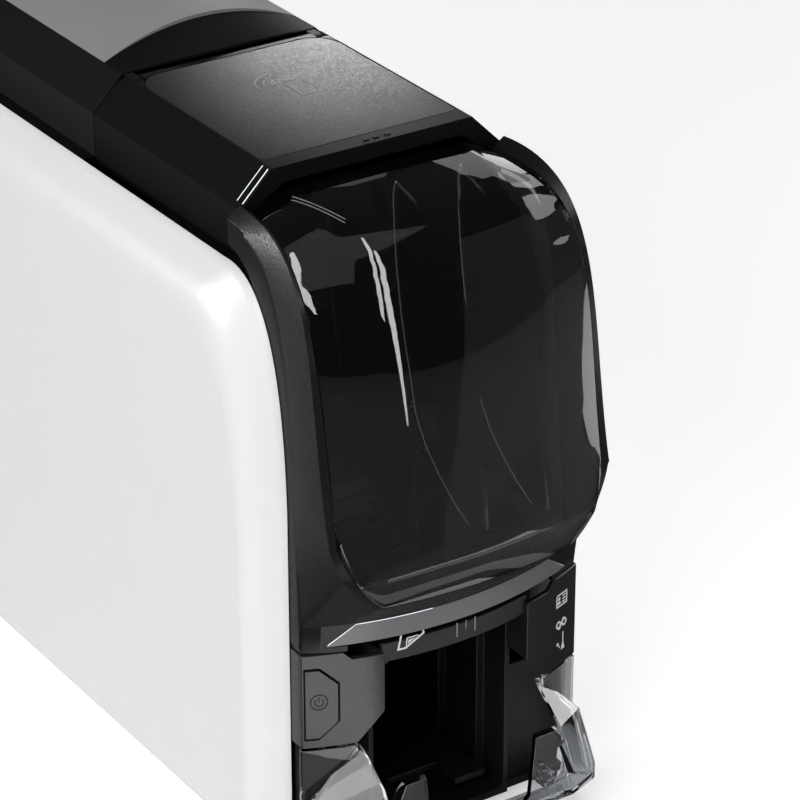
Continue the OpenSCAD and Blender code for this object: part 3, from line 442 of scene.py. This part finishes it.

# %% [markdown]
# ## Smoked window
# The window is drawn as its outer face only. A Solidify modifier then gives it the 2.2 mm wall of the
# moulding, which keeps both faces parallel, and a bevel rounds the cut edge. Three fins of the same plastic
# stand inside it: they keep the ribbon off the window, and glowing beads on the free edges of two of them
# draw the fine bright lines as painted highlights.

# %% Skin through sections, and the window
def skin(name, sections, closed=False, caps=False):
    """A mesh through sections of equal length, in millimetres."""
    count = len(sections[0])
    wrap = count if closed else count - 1
    starts = range(0, (len(sections) - 1) * count, count)
    faces = [(a + i, a + (i + 1) % count, a + count + (i + 1) % count, a + count + i)
             for a in starts for i in range(wrap)]
    if caps:
        faces += [tuple(range(count - 1, -1, -1)), tuple(starts[-1] + count + i for i in range(count))]
    mesh = bpy.data.meshes.new(name)
    mesh.from_pydata((np.array(sections, float) / 1000).reshape(-1, 3).tolist(), [], faces)
    shape = bmesh.new()
    shape.from_mesh(mesh)
    bmesh.ops.recalc_face_normals(shape, faces=shape.faces)
    shape.to_mesh(mesh)
    shape.free()
    for face in mesh.polygons:
        face.use_smooth = True
    return bpy.data.objects.new(name, mesh)


window = settle(skin("window", window_lines), "cover", smoked_pc)
middle_face = window.data.polygons[len(window.data.polygons) // 2]
wall = window.modifiers.new("wall", "SOLIDIFY")
wall.thickness = 0.0022
wall.offset = -1 if middle_face.normal.y < 0 else 1
wall.use_even_offset = True
round_edges(window, 0.5, segments=3, sharp_deg=50)
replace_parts(window, "cover_window")
print("window's outer face:", len(window.data.polygons), "faces")

# %% Fins
fin_half = 0.7
fin_gap = 2.3
half_at_fins = 61.8
free_edge = placed([[0, y, z] for y, z in [
    (33, 172.5), (34.5, 166), (34, 152), (32.5, 138), (29, 118), (25.5, 104), (22.5, 94), (19, 80),
    (12, 69), (4, 61), (-8, 52), (-18, 47)]])
fin_x = {"left": -30, "middle": 0, "right": 30}
for side, x in fin_x.items():
    near = np.array([p for p in placed(window_line(x / half_at_fins))
                     if p[1] < front_corner + 31 and p[2] > seam + 46])
    along = np.gradient(near[:, 1:], axis=0)
    along /= np.linalg.norm(along, axis=1)[:, None]
    inward = np.column_stack([np.zeros(len(near)), -along[:, 1], along[:, 0]])
    outline = np.vstack([(near + inward * fin_gap)[::-1], free_edge + [x, 0, 0]])
    cheeks = [outline - [fin_half, 0, 0], outline + [fin_half, 0, 0]]
    fin = skin(f"fin_{side}", cheeks, closed=True, caps=True)
    for face in fin.data.polygons:
        face.use_smooth = False
    settle(fin, "cover", fin_pc)
print("fins inside the window:", len(fin_x))

# %% [markdown]
# ## Black frame
# The frame has a section of seven corners that slides down one side, turns under the window and climbs the
# other side. What changes from face to face is the finish: the narrow ring that lies flush with the
# window is satin, the wall outside it is pebbled, and the skirt behind the crease is satin again. A tube
# along a path keeps one section all the way; here each section is worked out, so the wall can widen.

# %% Section of the frame
def bow_y(x):
    """How far the bowed front falls back at x."""
    return math.sqrt(bow_radius ** 2 - core ** 2) - math.sqrt(bow_radius ** 2 - x * x)


def side_section(t, deep=13):
    """The frame's section beside the window, from its inner corner round to the window's edge."""
    turn = math.radians(52 * (1 - t))
    back = np.array([0, math.cos(turn), -math.sin(turn)]) * deep
    edge, rim, crease = window_at(1, t) + [0.3, 0, 0], curve(frame_rim, t), curve(side_crease, t)
    return [edge + back * 0.8, mix(edge, crease, 0.5) + back * 0.9, crease + back, crease + back * 0.25,
            crease, rim, edge]


rim_foot_x = 65.6
crease_foot = 12.9
half_at_chin = 61.6


def chin_section(k):
    """The same section under the window, with k from 0 at the corner to 1 at the middle."""
    corner, along = min(1, k / 0.5), max(0, k - 0.5) / 0.5
    turn = 1 - math.cos(math.radians(90 * corner))
    down = min(1, 2 * corner)
    edge_x = mix(62, 44, turn) if k < 0.5 else mix(44, 0, along)
    out_x = mix(side_x, 50, max(0, 2 * corner - 1)) if k < 0.5 else mix(50, 0, along)
    rim_x = mix(rim_foot_x, 46, turn) * (1 - along)
    edge = window_line(edge_x / half_at_chin)[-1]
    crease_z, out_y, low_z = mix(84, crease_foot, down), bow_y(out_x), mix(78, 0, down)
    skirt = max(0, crease_z - crease_foot) * 0.06
    rim = [rim_x, mix(-27, -20.5, (rim_x / rim_foot_x) ** 2),
           round_up(rim_x, flat=46, wide=19.8, low=26, high=21)]
    inner = np.array([edge[0] + (1 - corner) * 0.3, edge[1] + mix(10, 12, corner), edge[2] - 1.5 * corner])
    outer = np.array([out_x, out_y + mix(13, 5.5, corner) + skirt, low_z])
    under = np.array([out_x - min(3, 6 - 6 * corner), out_y + 5.5, 14.9])
    knee = mix(mix(inner, outer, 0.5), under, down * down)
    foot = [out_x, out_y + mix(3, 0, corner) + skirt * (1 - corner), low_z]
    crease = [out_x, out_y - 0.9 * corner + skirt, crease_z]
    return [inner, knee, outer, foot, crease, rim,
            [edge[0] + 0.3 * (1 - corner), edge[1], edge[2] - 0.3 * corner]]


print("corners of the section:", len(side_section(0)), len(chin_section(0)))

# %% Frame round the window
right = [side_section(face_end(1) * i / 40) for i in range(41)]
corner_steps, chin_steps = np.linspace(0.04, 0.5, 24), np.linspace(0.5, 1, 13)[1:]
right += [chin_section(k) for k in np.concatenate([corner_steps, chin_steps])]
right = [placed(section) for section in right]
left = [section * [-1, 1, 1] for section in right[:-1]]
bezel = settle(skin("window_frame", left + right[::-1], closed=True, caps=True), "cover",
               [black_satin_abs, black_pebbled_abs])
corners_of_section, wall_outside_rim = len(right[0]), 4
for face in bezel.data.polygons:
    if face.index % corners_of_section == wall_outside_rim and len(face.vertices) == 4:
        face.material_index = 1
print("sections round the window:", len(left) + len(right))

# %% [markdown]
# ## Seat of the light bar
# The light bar sits flush in the chin, in a pocket of its own outline with 0.3 mm of play. The section
# could be led round it, but a cutter of the bar's shape is simpler and keeps the play even. Below it the
# chin is open, so that cards can leave.

# %% Seat of the light bar
def carve(piece, cutter):
    """Cut one closed mesh out of another for good, and throw the cutter away."""
    bpy.context.collection.objects.link(cutter)
    cut = piece.modifiers.new("cut", "BOOLEAN")
    cut.object = cutter
    cut.operation = "DIFFERENCE"
    cut.solver = "MANIFOLD"
    evaluated = piece.evaluated_get(bpy.context.evaluated_depsgraph_get())
    shaped = bpy.data.meshes.new_from_object(evaluated)
    piece.modifiers.clear()
    piece.data = shaped
    bpy.data.objects.remove(cutter)


def prism(name, outline, y0, y1):
    """An outline of [x, z] points carried along Y."""
    return skin(name, [[[x, y, z] for x, z in outline] for y in (y1, y0)], closed=True, caps=True)


def bar_top(x, middle_high=12, end_high=3.6, slant_from=46, slant_wide=11):
    """The light bar's top edge above the seam: level in the middle, slanted at both ends."""
    return mix(middle_high, end_high, min(1, max(0, (abs(x) - slant_from) / slant_wide)))


def seat_section(x, grow, deep=2.3, ahead=2):
    foot, top = seam + 3 - grow, seam + bar_top(x) + grow
    y = front_corner + bow_y(x)
    return [[x, y - ahead, foot], [x, y + deep, foot], [x, y + deep, top], [x, y - ahead, top]]


stations = np.concatenate([[-57.3, -46.15], np.linspace(-44, 44, 23), [46.15, 57.3]])
carve(bezel, skin("seat", [seat_section(x, 0.3) for x in stations], closed=True, caps=True))
gap_outline = [(-49, seam - 1), (49, seam - 1), (49, seam + 3), (-49, seam + 3)]
carve(bezel, prism("gap", gap_outline, front_corner - 40, front_corner + 20))
print("frame with its seat:", len(bezel.data.polygons), "faces")

# %% [markdown]
# ## Ends of the frame
# The frame stops where the cover's top begins. It is drawn a little too long and cut straight there, which
# is surer than to end each curve on the same plane. The cut is closed, and edges that turn by more than
# 28 degrees stay sharp.

# %% Ends of the frame
frame_end_y = front_corner + 48.1
ends = bmesh.new()
ends.from_mesh(bezel.data)
bmesh.ops.bisect_plane(ends, geom=ends.verts[:] + ends.edges[:] + ends.faces[:], dist=1e-7,
                       clear_outer=True, plane_co=(0, frame_end_y / 1000, 0), plane_no=(0, 1, 0))
bmesh.ops.holes_fill(ends, edges=[e for e in ends.edges if e.is_boundary], sides=0)
for edge in ends.edges:
    edge.smooth = edge.is_manifold and edge.calc_face_angle(0) < math.radians(28)
for face in ends.faces:
    face.smooth = True
ends.to_mesh(bezel.data)
ends.free()
round_edges(bezel, 0.45, segments=3, sharp_deg=28)
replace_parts(bezel, "cover_bezel")
print("frame round the window:", len(bezel.data.polygons), "faces")

# %% [markdown]
# ## White side panels
# A side panel is a flat plate whose rim falls away in a wide, slightly hollow slope, and the slope is what
# shows it is thick. It is drawn as one stack of closed outlines, each a little smaller than the last.
# More of them stand close together where the slope meets the flat, so that this line stays crisp.

# %% Side panels
def panel_outline(drawn, x, corner_steps=25):
    """The panel's outline at x, drawn in from its widest by a share. Four curves round its corners."""
    front, rear = front_corner + 8 + 16 * drawn, 189 - 9 * drawn
    foot, top = 6 + 9 * drawn, 260 - 23 * drawn
    corners = [[[front, top - 92], [front + 1.5, top - 37], [front + 12, top + 3], [front + 42, top]],
               [[rear - 34, top], [rear - 10, top], [rear, top - 12], [rear, top - 40]],
               [[rear, foot + 18], [rear, foot + 6], [rear - 6, foot], [rear - 18, foot]],
               [[front + 20, foot], [front + 8, foot], [front + 1, foot + 7], [front, foot + 20]]]
    t = np.linspace(0, 1, corner_steps)
    return np.array([[x, *p] for corner in corners for p in curve([[0, *c] for c in corner], t)[:, 1:]])


panel_thick = 12.3
# Pairs of how far out the outline stands, as a share of the panel's thickness, and how far it is drawn in
slope = [(0, 0), (0.03, 0.004), (0.2, 0.125), (0.4, 0.262), (0.6, 0.402), (0.75, 0.53), (0.86, 0.67),
         (0.93, 0.8), (0.975, 0.93), (0.995, 1.02), (1, 1.06)]
for node, side in (("side_panel_left", -1), ("side_panel_right", 1)):
    outlines = [panel_outline(drawn, side * (core + panel_thick * out)) for out, drawn in slope]
    shell = skin(node + "_shell", outlines, closed=True, caps=True)
    settle(shell, "chassis", white_abs)
    shape = bmesh.new()
    shape.from_mesh(shell.data)
    for edge in {edge for face in shape.faces if len(face.verts) > 4 for edge in face.edges}:
        edge.smooth = False
    shape.to_mesh(shell.data)
    shape.free()
    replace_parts(shell, node)

# %% [markdown]
# ## Signs
# Small signs say what each face is for: tap a card here, power, card, ribbon, cleaning, and which way a
# card goes in. They are pad-printed, in a layer of ink about 0.02 mm thick. Decals or painted textures
# would do as well; here each sign is a set of flat outlines with 0.06 mm of height, because a raised
# outline stays sharp at any distance and never shares a plane with the face below it.

# %% Outlines for signs
def arc(x, y, radius, width, start, end, steps=40):
    """A bent stroke round (x, y), between two angles in degrees."""
    turn = np.radians(np.linspace(start, end, steps))
    outer, inner = ([(x + r * math.cos(a), y + r * math.sin(a)) for a in turn]
                    for r in (radius + width / 2, radius - width / 2))
    return outer + inner[::-1]


def stroke(points, width):
    """A line of even width through points, with mitred corners."""
    p = [Vector(q) for q in points]
    legs = [(b - a).normalized() for a, b in zip(p, p[1:])]
    left, right = [], []
    for q, before, after in zip(p, legs[:1] + legs, legs + legs[-1:]):
        run = (before + after).normalized()
        side = Vector((-run.y, run.x)) * width / 2 / max(0.5, run.dot(before))
        left.append(tuple(q + side))
        right.append(tuple(q - side))
    return left + right[::-1]


def box_outline(x, y, wide, high):
    return [(x + wide * i / 2, y + high * j / 2) for i, j in ((-1, -1), (1, -1), (1, 1), (-1, 1))]


def disc(x, y, radius, corners=24):
    return [(x + radius * math.cos(a), y + radius * math.sin(a))
            for a in np.radians(np.arange(corners) * 360 / corners)]


print("corners of a ring:", len(arc(0, 0, 3, 0.5, 0, 359)))

# %% Printing on a face
def printed(name, piece, start, direction, up, shapes, finish, height=0.06, size=1.0, sunk=0.04):
    """Lay outlines in millimetres on the face of `piece` that a ray from `start` meets first."""
    _, place, normal, _ = piece.ray_cast(Vector(start) / 1000, Vector(direction))
    across = Vector(up).cross(normal).normalized()
    along = normal.cross(across)
    shape = bmesh.new()
    for outline in shapes:
        area = sum(a[0] * b[1] - b[0] * a[1] for a, b in zip(outline, outline[1:] + outline[:1]))
        corners = outline if area > 0 else outline[::-1]
        low, high = ([shape.verts.new(place + (across * x * size + along * y * size + normal * z) / 1000)
                      for x, y in corners] for z in (-sunk, height))
        shape.faces.new(high)
        shape.faces.new(low[::-1])
        for i in range(len(low)):
            j = (i + 1) % len(low)
            shape.faces.new((low[i], low[j], high[j], high[i]))
    mesh = bpy.data.meshes.new(name)
    shape.to_mesh(mesh)
    shape.free()
    node = piece.name.removesuffix("_moulding")
    return settle(bpy.data.objects.new(name, mesh), body_of_node[node], finish)


bpy.context.view_layer.update()
face_of = {o.name.removesuffix("_moulding"): o for o in bpy.data.objects if o.name.endswith("_moulding")}
from_front = (0, 1, 0)
up = (0, 0, 1)


def front_sign(name, node, x, z, shapes, finish, size=1.0):
    return printed(name, face_of[node], (x, -400, z), from_front, up, shapes, finish, size=size)


print("faces to print on:", len(face_of))

# %% The signs
waves = [arc(0, 0, radius, 0.9, 92, 188) for radius in (4.3, 7.6, 10.9)]
tapped_card = stroke([(0.3, 0.6), (8.8, 0.6), (8.8, -15), (0.3, -15), (0.3, 0.2)], 0.9)
printed("tap_sign", face_of["touch_pad"], (2.5, -45.3, 400), (0, 0, -1), (0, 1, 0), waves + [tapped_card],
        pad_ink)

ring = arc(0, 0, 3.4, 0.55, -89, 269)
open_ring = arc(0, -0.1, 1.7, 0.5, -235, 55)
front_sign("power_sign", "power_button", -60.1, 86.4, [ring, open_ring, box_outline(0, 1.2, 0.5, 2.2)],
           dark_ink)

frame_line = stroke([(-3.2, 2.4), (3.2, 2.4), (3.2, -2.4), (-3.2, -2.4), (-3.2, 2.1)], 0.6)
portrait = [disc(-1.7, 0.75, 0.7), [(-2.7, -1.5), (-0.7, -1.5), (-0.9, -0.5), (-1.7, -0.2), (-2.5, -0.5)]]
lines = [box_outline(1.4, z, 2.2, 0.55) for z in (1.3, 0, -1.3)]
front_sign("card_sign", "icon_fascia", 56, 96.3, [frame_line] + portrait + lines, print_ink, 1.12)

rolls = [arc(x, 0, 1.2, 0.75, 0, 359) for x in (-1.75, 1.75)]
tape = stroke([(-1.9, -1.75), (-0.9, -1.75), (0.9, 1.75), (1.9, 1.75)], 0.45)
front_sign("ribbon_sign", "icon_fascia", 56, 84.8, rolls + [tape], print_ink, 1.15)

swab = [box_outline(1.3, 1.7, 0.6, 4.6), [(0.9, -0.7), (1.7, -0.7), (2.5, -3.3), (0.1, -3.3)]]
glints = [[(x - r, z), (x, z - r), (x + r, z), (x, z + r)]
          for x, z, r in ((-2.2, -0.2, 0.85), (-1.0, -1.6, 0.55))]
front_sign("cleaning_sign", "icon_fascia", 56, 75.9, swab + glints, print_ink, 1.1)

corner_card = stroke([(-4.4, 4.4), (-5.7, -1.8), (-2.5, -1.7), (5.3, 3.3), (5.1, 4.6)], 0.8)
facing = [stroke([(-2.2, -0.8), (-1.8, 2.6), (3.1, 2.9)], 0.5), [(-1.2, 1.7), (1.8, 2.1), (-1.5, -0.1)]]
front_sign("card_way_sign", "card_guide", -22, 105, [corner_card] + facing, print_ink)
marks = [box_outline(-4.3, 0.8, 0.6, 6.4), box_outline(0, 2, 0.4, 4), box_outline(4.4, 0.8, 0.6, 6.4)]
front_sign("guide_marks", "card_guide", 3, 104, marks, grey_ink)

# %% [markdown]
# ## Small parts that catch the light
# A clear part shows itself by its edges, because light that enters a broad face leaves again at a narrow
# one. Here that light is painted: thin glowing beads lay painted highlights on the free edges of two fins,
# along two lines under the window's top, on the cut of the light bar, and on the tongue that the window
# hooks under the cover's top. Three clips on the front lip of the cover's top hold the window from above.
# A clear material with thin walls can find such light by itself, but only with far more rays; a thin bead
# is sure.

# %% Painted highlights on edges, tongue and clips
def bead(name, points, radius_mm, around=8):
    """A thin eight-sided glowing line, a painted highlight, through points in millimetres."""
    spokes = np.radians(np.arange(around) * 360 / around)
    p = [Vector(q) for q in points]
    sections = []
    for i, q in enumerate(p):
        run = (p[min(i + 1, len(p) - 1)] - p[max(i - 1, 0)]).normalized()
        side = run.cross(Vector((0.3, 0.2, 0.9))).normalized()
        lift = run.cross(side)
        sections.append([q + (side * math.cos(a) + lift * math.sin(a)) * radius_mm for a in spokes])
    return settle(skin(name, sections, closed=True, caps=True), "cover", edge_glow_pc)


# Painted highlights: glowing beads along the free edges of the middle and right fins
for side in ("middle", "right"):
    bead(f"fin_{side}_edge", free_edge + [fin_x[side], 0, 0], 0.22)


def under_window(x, y, deep=2.6):
    """A point below the window's top, deeper than its wall is thick."""
    place = window.ray_cast(Vector((x, y, 400)) / 1000, Vector((0, 0, -1)))[1] * 1000
    return place - Vector((0, 0, deep))


# Painted highlights: two glowing lines just under the window's top, left of its middle
for side, x, y in (("upper", -40.3, -121), ("lower", -41.5, -122.6)):
    bead(f"rib_{side}_edge", [under_window(x + 10 * k, y - 21 * k) for k in np.linspace(0, 1, 9)], 0.18)

# Painted highlight on the frosted bar where it is cut: a glowing bead along the left half of its top and
# down its slanted end
bar_x = np.concatenate([np.linspace(-56.5, -46, 5), np.linspace(-44, -14, 12)])
bead("bar_edge", [(x, front_corner + bow_y(x) - 0.25, seam + bar_top(x, 11.8)) for x in bar_x], 0.15)

deck = face_of["cover_deck"]
half_way_down = math.sqrt(0.5)
printed("window_tongue", deck, (-72.6, -112.9, 305.3), (half_way_down, 0, -half_way_down), (0, 1, 0),
        [box_outline(0, 0, 16.5, 4.2)], clear_pc, height=0.9)
# Painted highlights: glowing beads along the two long edges of the tongue
for side, y in (("rear", -111.0), ("front", -114.8)):
    bead(f"tongue_{side}_edge", [(-47.2, y, 291.9), (-53, y, 286.1), (-58.8, y, 280.3)], 0.2)
for x in (-1.5, 3.0, 8.5):
    printed(f"lip_clip_{x:.0f}", deck, (x, -112.3, 400), (0, 0, -1), (0, 1, 0),
            [box_outline(0, 0, 2.2, 1.6)], deck_shaded_abs, height=0.5)

# %% [markdown]
# ## Screws at the back
# The rear housing is closed with four pan-head screws. A screw head is a turned shape, so it is drawn as a
# profile of (radius, height) pairs carried round an axis, with a cross recess cut into it. A painted cross
# would look flat from the side.

# %% Rear screws
head_profile = [(0.01, 1.5), (1.2, 1.45), (2.3, 1.15), (2.9, 0.5), (3.0, -0.2), (0.01, -0.2)]
recess_long, recess_wide, recess_floor = 3.0, 0.7, 0.6


def screw_head(name, x, z):
    from_rear = Vector((0, -1, 0))
    place = face_of["rear_housing"].ray_cast(Vector((x, 400, z)) / 1000, from_rear)[1] * 1000
    rings = [[(place.x + a, place.y + height, place.z + b) for a, b in disc(0, 0, radius, 30)]
             for radius, height in head_profile]
    head = settle(skin(name, rings, closed=True, caps=True), "chassis", zinc_steel)
    for wide, tall in ((recess_long, recess_wide), (recess_wide, recess_long)):
        slot = box_outline(place.x, place.z, wide, tall)
        carve(head, prism("recess", slot, place.y + recess_floor, place.y + 2.5))


screws = [(-52, 246), (52, 246), (-60, 22), (60, 22)]
for number, (x, z) in enumerate(screws, 1):
    screw_head(f"rear_screw_{number}", x, z)

# %% [markdown]
# ## Table
# The printer stands on a pale acrylic table in a soft studio. Light from below the sheet keeps it near
# white up to the printer's foot. The black mouldings would mirror so large a white sheet and turn grey,
# so the table is hidden from mirror rays.

# %% Table
def sheet(name, corners, material):
    mesh = bpy.data.meshes.new(name)
    mesh.from_pydata(corners, [], [tuple(range(len(corners)))])
    mesh.materials.append(material)
    piece = bpy.data.objects.new(name, mesh)
    bpy.context.collection.objects.link(piece)
    return piece


def rectangle(x0, y0, x1, y1, z):
    return [(x0, y0, z), (x1, y0, z), (x1, y1, z), (x0, y1, z)]


acrylic = moulded("backlit white acrylic table", "#F2F2F2", 0.7, 4.0, 0.02, drift=0.01)
floor = sheet("floor", rectangle(-6, -6, 6, 6, 0), glowing(acrylic, "#FFFFFF", 0.5))
floor.visible_glossy = False
print("table:", [round(size) for size in floor.dimensions[:2]], "m")

# %% [markdown]
# ## Lamps
# A softbox high on the left is the key. It is the one lamp that may be seen in the gloss, since the white
# panel's edge needs it. A wide one overhead fills. A snoot, which is a spot at the end of a tube, lays a
# patch of light on the rear right of the pad, as a window behind the printer would.

# %% Lamps
def put_up(name, lamp, place, target):
    holder = bpy.data.objects.new(name, lamp)
    bpy.context.collection.objects.link(holder)
    holder.location = place
    holder.rotation_euler = (Vector(target) - Vector(place)).to_track_quat("-Z", "Y").to_euler()
    return holder


def softbox(name, place, target, size, power, mirrored):
    lamp = bpy.data.lights.new(name, "AREA")
    lamp.shape = "RECTANGLE"
    lamp.size = size
    lamp.size_y = size
    lamp.energy = power
    put_up(name, lamp, place, target).visible_glossy = mirrored


softbox("key from the left", (-2.2, -1.36, 1.5), (0, 0, 0.15), 1.6, 38, mirrored=True)
softbox("overhead", (-0.2, -0.3, 2.6), (0, 0, 0), 2.4, 34, mirrored=False)
snoot = bpy.data.lights.new("snoot on the pad", "SPOT")
snoot.energy = 42
snoot.spot_size = math.radians(5)
snoot.spot_blend = 1.0
snoot.shadow_soft_size = 0.05
put_up("snoot on the pad", snoot, (0.82, 1.22, 0.91), (0.108, 0.072, 0.292))
print("lamps:", len(bpy.data.lights))

# %% [markdown]
# ## Bright cards for the flat faces, and the right wall
# White and black parts need different things: a white panel shows the lamps, and a black gloss shows
# whatever stands opposite. So bright cards lie where a reflection is wanted, and everything else that the
# black mouldings could mirror is left dark, as a studio does with black cloth. Only mirror rays see a
# card, so a card may reach below the table top, where the table would stand in the reflection.

# %% Cards for the flat faces
def card(name, corners, strength):
    material = bpy.data.materials.new(name + " cloth")
    material.use_nodes = True
    tree = material.node_tree
    tree.nodes.clear()
    weave = add(tree, "ShaderNodeTexNoise", {"Vector": surface_place(tree), "Scale": 40.0})
    level = add(tree, "ShaderNodeMapRange", {"Value": weave.outputs["Fac"], "To Min": 0.95 * strength,
                                             "To Max": 1.05 * strength})
    glow = add(tree, "ShaderNodeEmission", {"Strength": level.outputs["Result"]})
    add(tree, "ShaderNodeOutputMaterial", {"Surface": glow.outputs["Emission"]})
    piece = sheet(name, corners, material)
    piece.visible_camera = False
    piece.visible_diffuse = False
    piece.visible_shadow = False
    piece.visible_transmission = False


wall_x = 1.2
near_edge = [(-0.12, 1.13), (-0.46, 0.9), (-0.61, 0.64), (-0.66, 0.41), (-0.655, 0.22), (-0.63, 0.08),
             (-0.6, -0.09), (-0.6, -0.25)]
far_edge = [(0.6, -0.25), (0.6, 1.13)]
card("right wall card", [(wall_x, y, z) for y, z in near_edge + far_edge], 2.4)
card("near floor card", [(-0.3, -0.27, 0.004), (0.12, -0.2, 0.004), (0.3, -0.26, 0.004), (0.5, -0.6, 0.004),
                         (-0.3, -0.6, 0.004)], 0.12)
card("power panel card", rectangle(-0.15, -0.42, -0.024, -0.25, 0.006), 2.2)
for name, y, strength in (("lip floor card", -0.305, 0.8), ("lip far floor card", -0.35, 2.0)):
    near = [(0.0, y, 0.005), (0.1, y + 0.025, 0.005), (0.2, y + 0.01, 0.005)]
    far = [(0.2, y - 0.018, 0.005), (0.1, y - 0.003, 0.005), (0.0, y - 0.038, 0.005)]
    card(name, near + far, strength)
card("left floor card", rectangle(-1.0, -0.25, -0.14, 0.33, 0.004), 0.04)
card("left rear card", [(-1.17, 0.31, 0.3), (-0.98, 0.63, 0.3), (-0.98, 0.63, 0.55),
                        (-1.17, 0.31, 0.55)], 34)

# %% [markdown]
# ## Bright cards for the window
# The wall on the right draws the light band down the window's right edge, and a grey one lifts the right
# half of the window. Three streaks and three patches stand for the tall windows and lamps of a room. The
# window is bowed both ways, so a straight card would show in it as a bent one. Each of these cards is bent
# instead, and hangs where a ray from the camera goes after the window mirrors it, most of them about a metre
# off. The left streak's hangs close by, as the window turns so fast there that a far one would fold.

# %% Grey wall and streaks
def ribbon_card(name, rows, strength):
    """A bent strip of cloth. A row is x, y, z in metres on one edge, and x, y, z on the other."""
    for number, (a, b) in enumerate(zip(rows, rows[1:]), 1):
        card(f"{name} {number}", [a[:3], b[:3], b[3:], a[3:]], strength)


ribbon_card("grey wall card", [
    (0.546, -0.427, 1.067, 0.883, -0.251, 0.825), (0.526, -0.782, 0.854, 0.953, -0.524, 0.525),
    (0.504, -0.977, 0.579, 0.977, -0.564, 0.258), (0.451, -1.074, 0.187, 0.971, -0.488, -0.038),
    (0.369, -1.084, -0.04, 0.955, -0.488, -0.115), (0.295, -1.098, -0.123, 0.919, -0.609, -0.109),
    (0.311, -0.947, -0.417, 0.819, -0.569, -0.367)], 0.17)
ribbon_card("left streak card", [
    (-0.0355, -0.122, 0.419, -0.034, -0.125, 0.42), (-0.0385, -0.154, 0.419, -0.037, -0.156, 0.419),
    (-0.0425, -0.183, 0.415, -0.041, -0.184, 0.414), (-0.0465, -0.205, 0.409, -0.045, -0.206, 0.408),
    (-0.0525, -0.236, 0.394, -0.0512, -0.236, 0.393), (-0.0585, -0.265, 0.371, -0.0575, -0.266, 0.37),
    (-0.0635, -0.284, 0.349, -0.0627, -0.284, 0.348), (-0.067, -0.297, 0.329, -0.0666, -0.297, 0.328)], 9)
ribbon_card("outer streak card", [
    (0.381, -0.099, 1.183, 0.385, -0.097, 1.182), (0.366, -0.226, 1.188, 0.373, -0.21, 1.186),
    (0.329, -0.472, 1.148, 0.334, -0.482, 1.143), (0.283, -0.716, 1.037, 0.29, -0.724, 1.03),
    (0.24, -0.905, 0.879, 0.249, -0.91, 0.871), (0.209, -1.012, 0.74, 0.217, -1.018, 0.728),
    (0.185, -1.076, 0.624, 0.19, -1.083, 0.605), (0.181, -1.102, 0.557, 0.183, -1.102, 0.557)], 9)
ribbon_card("inner streak card", [
    (0.358, -0.355, 1.171, 0.365, -0.335, 1.173), (0.334, -0.515, 1.13, 0.341, -0.526, 1.123),
    (0.286, -0.77, 0.996, 0.298, -0.778, 0.984), (0.239, -0.967, 0.799, 0.253, -0.971, 0.788),
    (0.2, -1.083, 0.6, 0.218, -1.083, 0.591), (0.17, -1.145, 0.402, 0.187, -1.143, 0.398),
    (0.15, -1.164, 0.252, 0.164, -1.162, 0.25), (0.136, -1.166, 0.143, 0.148, -1.164, 0.142),
    (0.127, -1.161, 0.065, 0.137, -1.159, 0.064), (0.125, -1.155, 0.015, 0.131, -1.154, 0.015)], 9)

# %% Patches
ribbon_card("high patch card", [
    (0.544, 0.556, 0.809, 0.542, 0.537, 0.828), (0.567, 0.545, 0.811, 0.571, 0.489, 0.858),
    (0.65, 0.52, 0.735, 0.65, 0.47, 0.78), (0.745, 0.487, 0.634, 0.764, 0.444, 0.661),
    (0.763, 0.552, 0.445, 0.781, 0.392, 0.702), (0.795, 0.341, 0.739, 0.802, 0.263, 0.794)], 3.2)
card("left patch card", [
    (0.446, 0.525, 0.883), (0.47, 0.544, 0.854), (0.506, 0.52, 0.86), (0.5, 0.478, 0.901),
    (0.461, 0.475, 0.921), (0.442, 0.495, 0.912)], 0.5)
ribbon_card("low patch card", [
    (0.542, 0.537, 0.828, 0.553, 0.474, 0.879), (0.571, 0.489, 0.858, 0.576, 0.35, 0.959),
    (0.65, 0.47, 0.78, 0.603, 0.25, 1.0), (0.764, 0.444, 0.661, 0.715, 0.206, 0.926),
    (0.781, 0.392, 0.702, 0.809, 0.212, 0.818)], 1.2)

# %% [markdown]
# ## The rest of the room
# What is left of the room gives a weak, even light, just enough to keep the black parts from sinking into
# one. The plain view transform is chosen, so that a hex colour is shown as it was written.

# %% Room light and view
world = bpy.context.scene.world or bpy.data.worlds.new("room")
bpy.context.scene.world = world
world.use_nodes = True
room = world.node_tree.nodes["Background"]
room.inputs["Color"].default_value = linear("#F4F4F5")
room.inputs["Strength"].default_value = 0.06
bpy.context.scene.view_settings.view_transform = "Standard"
bpy.context.scene.view_settings.look = "None"
print("room light:", round(room.inputs["Strength"].default_value, 2))
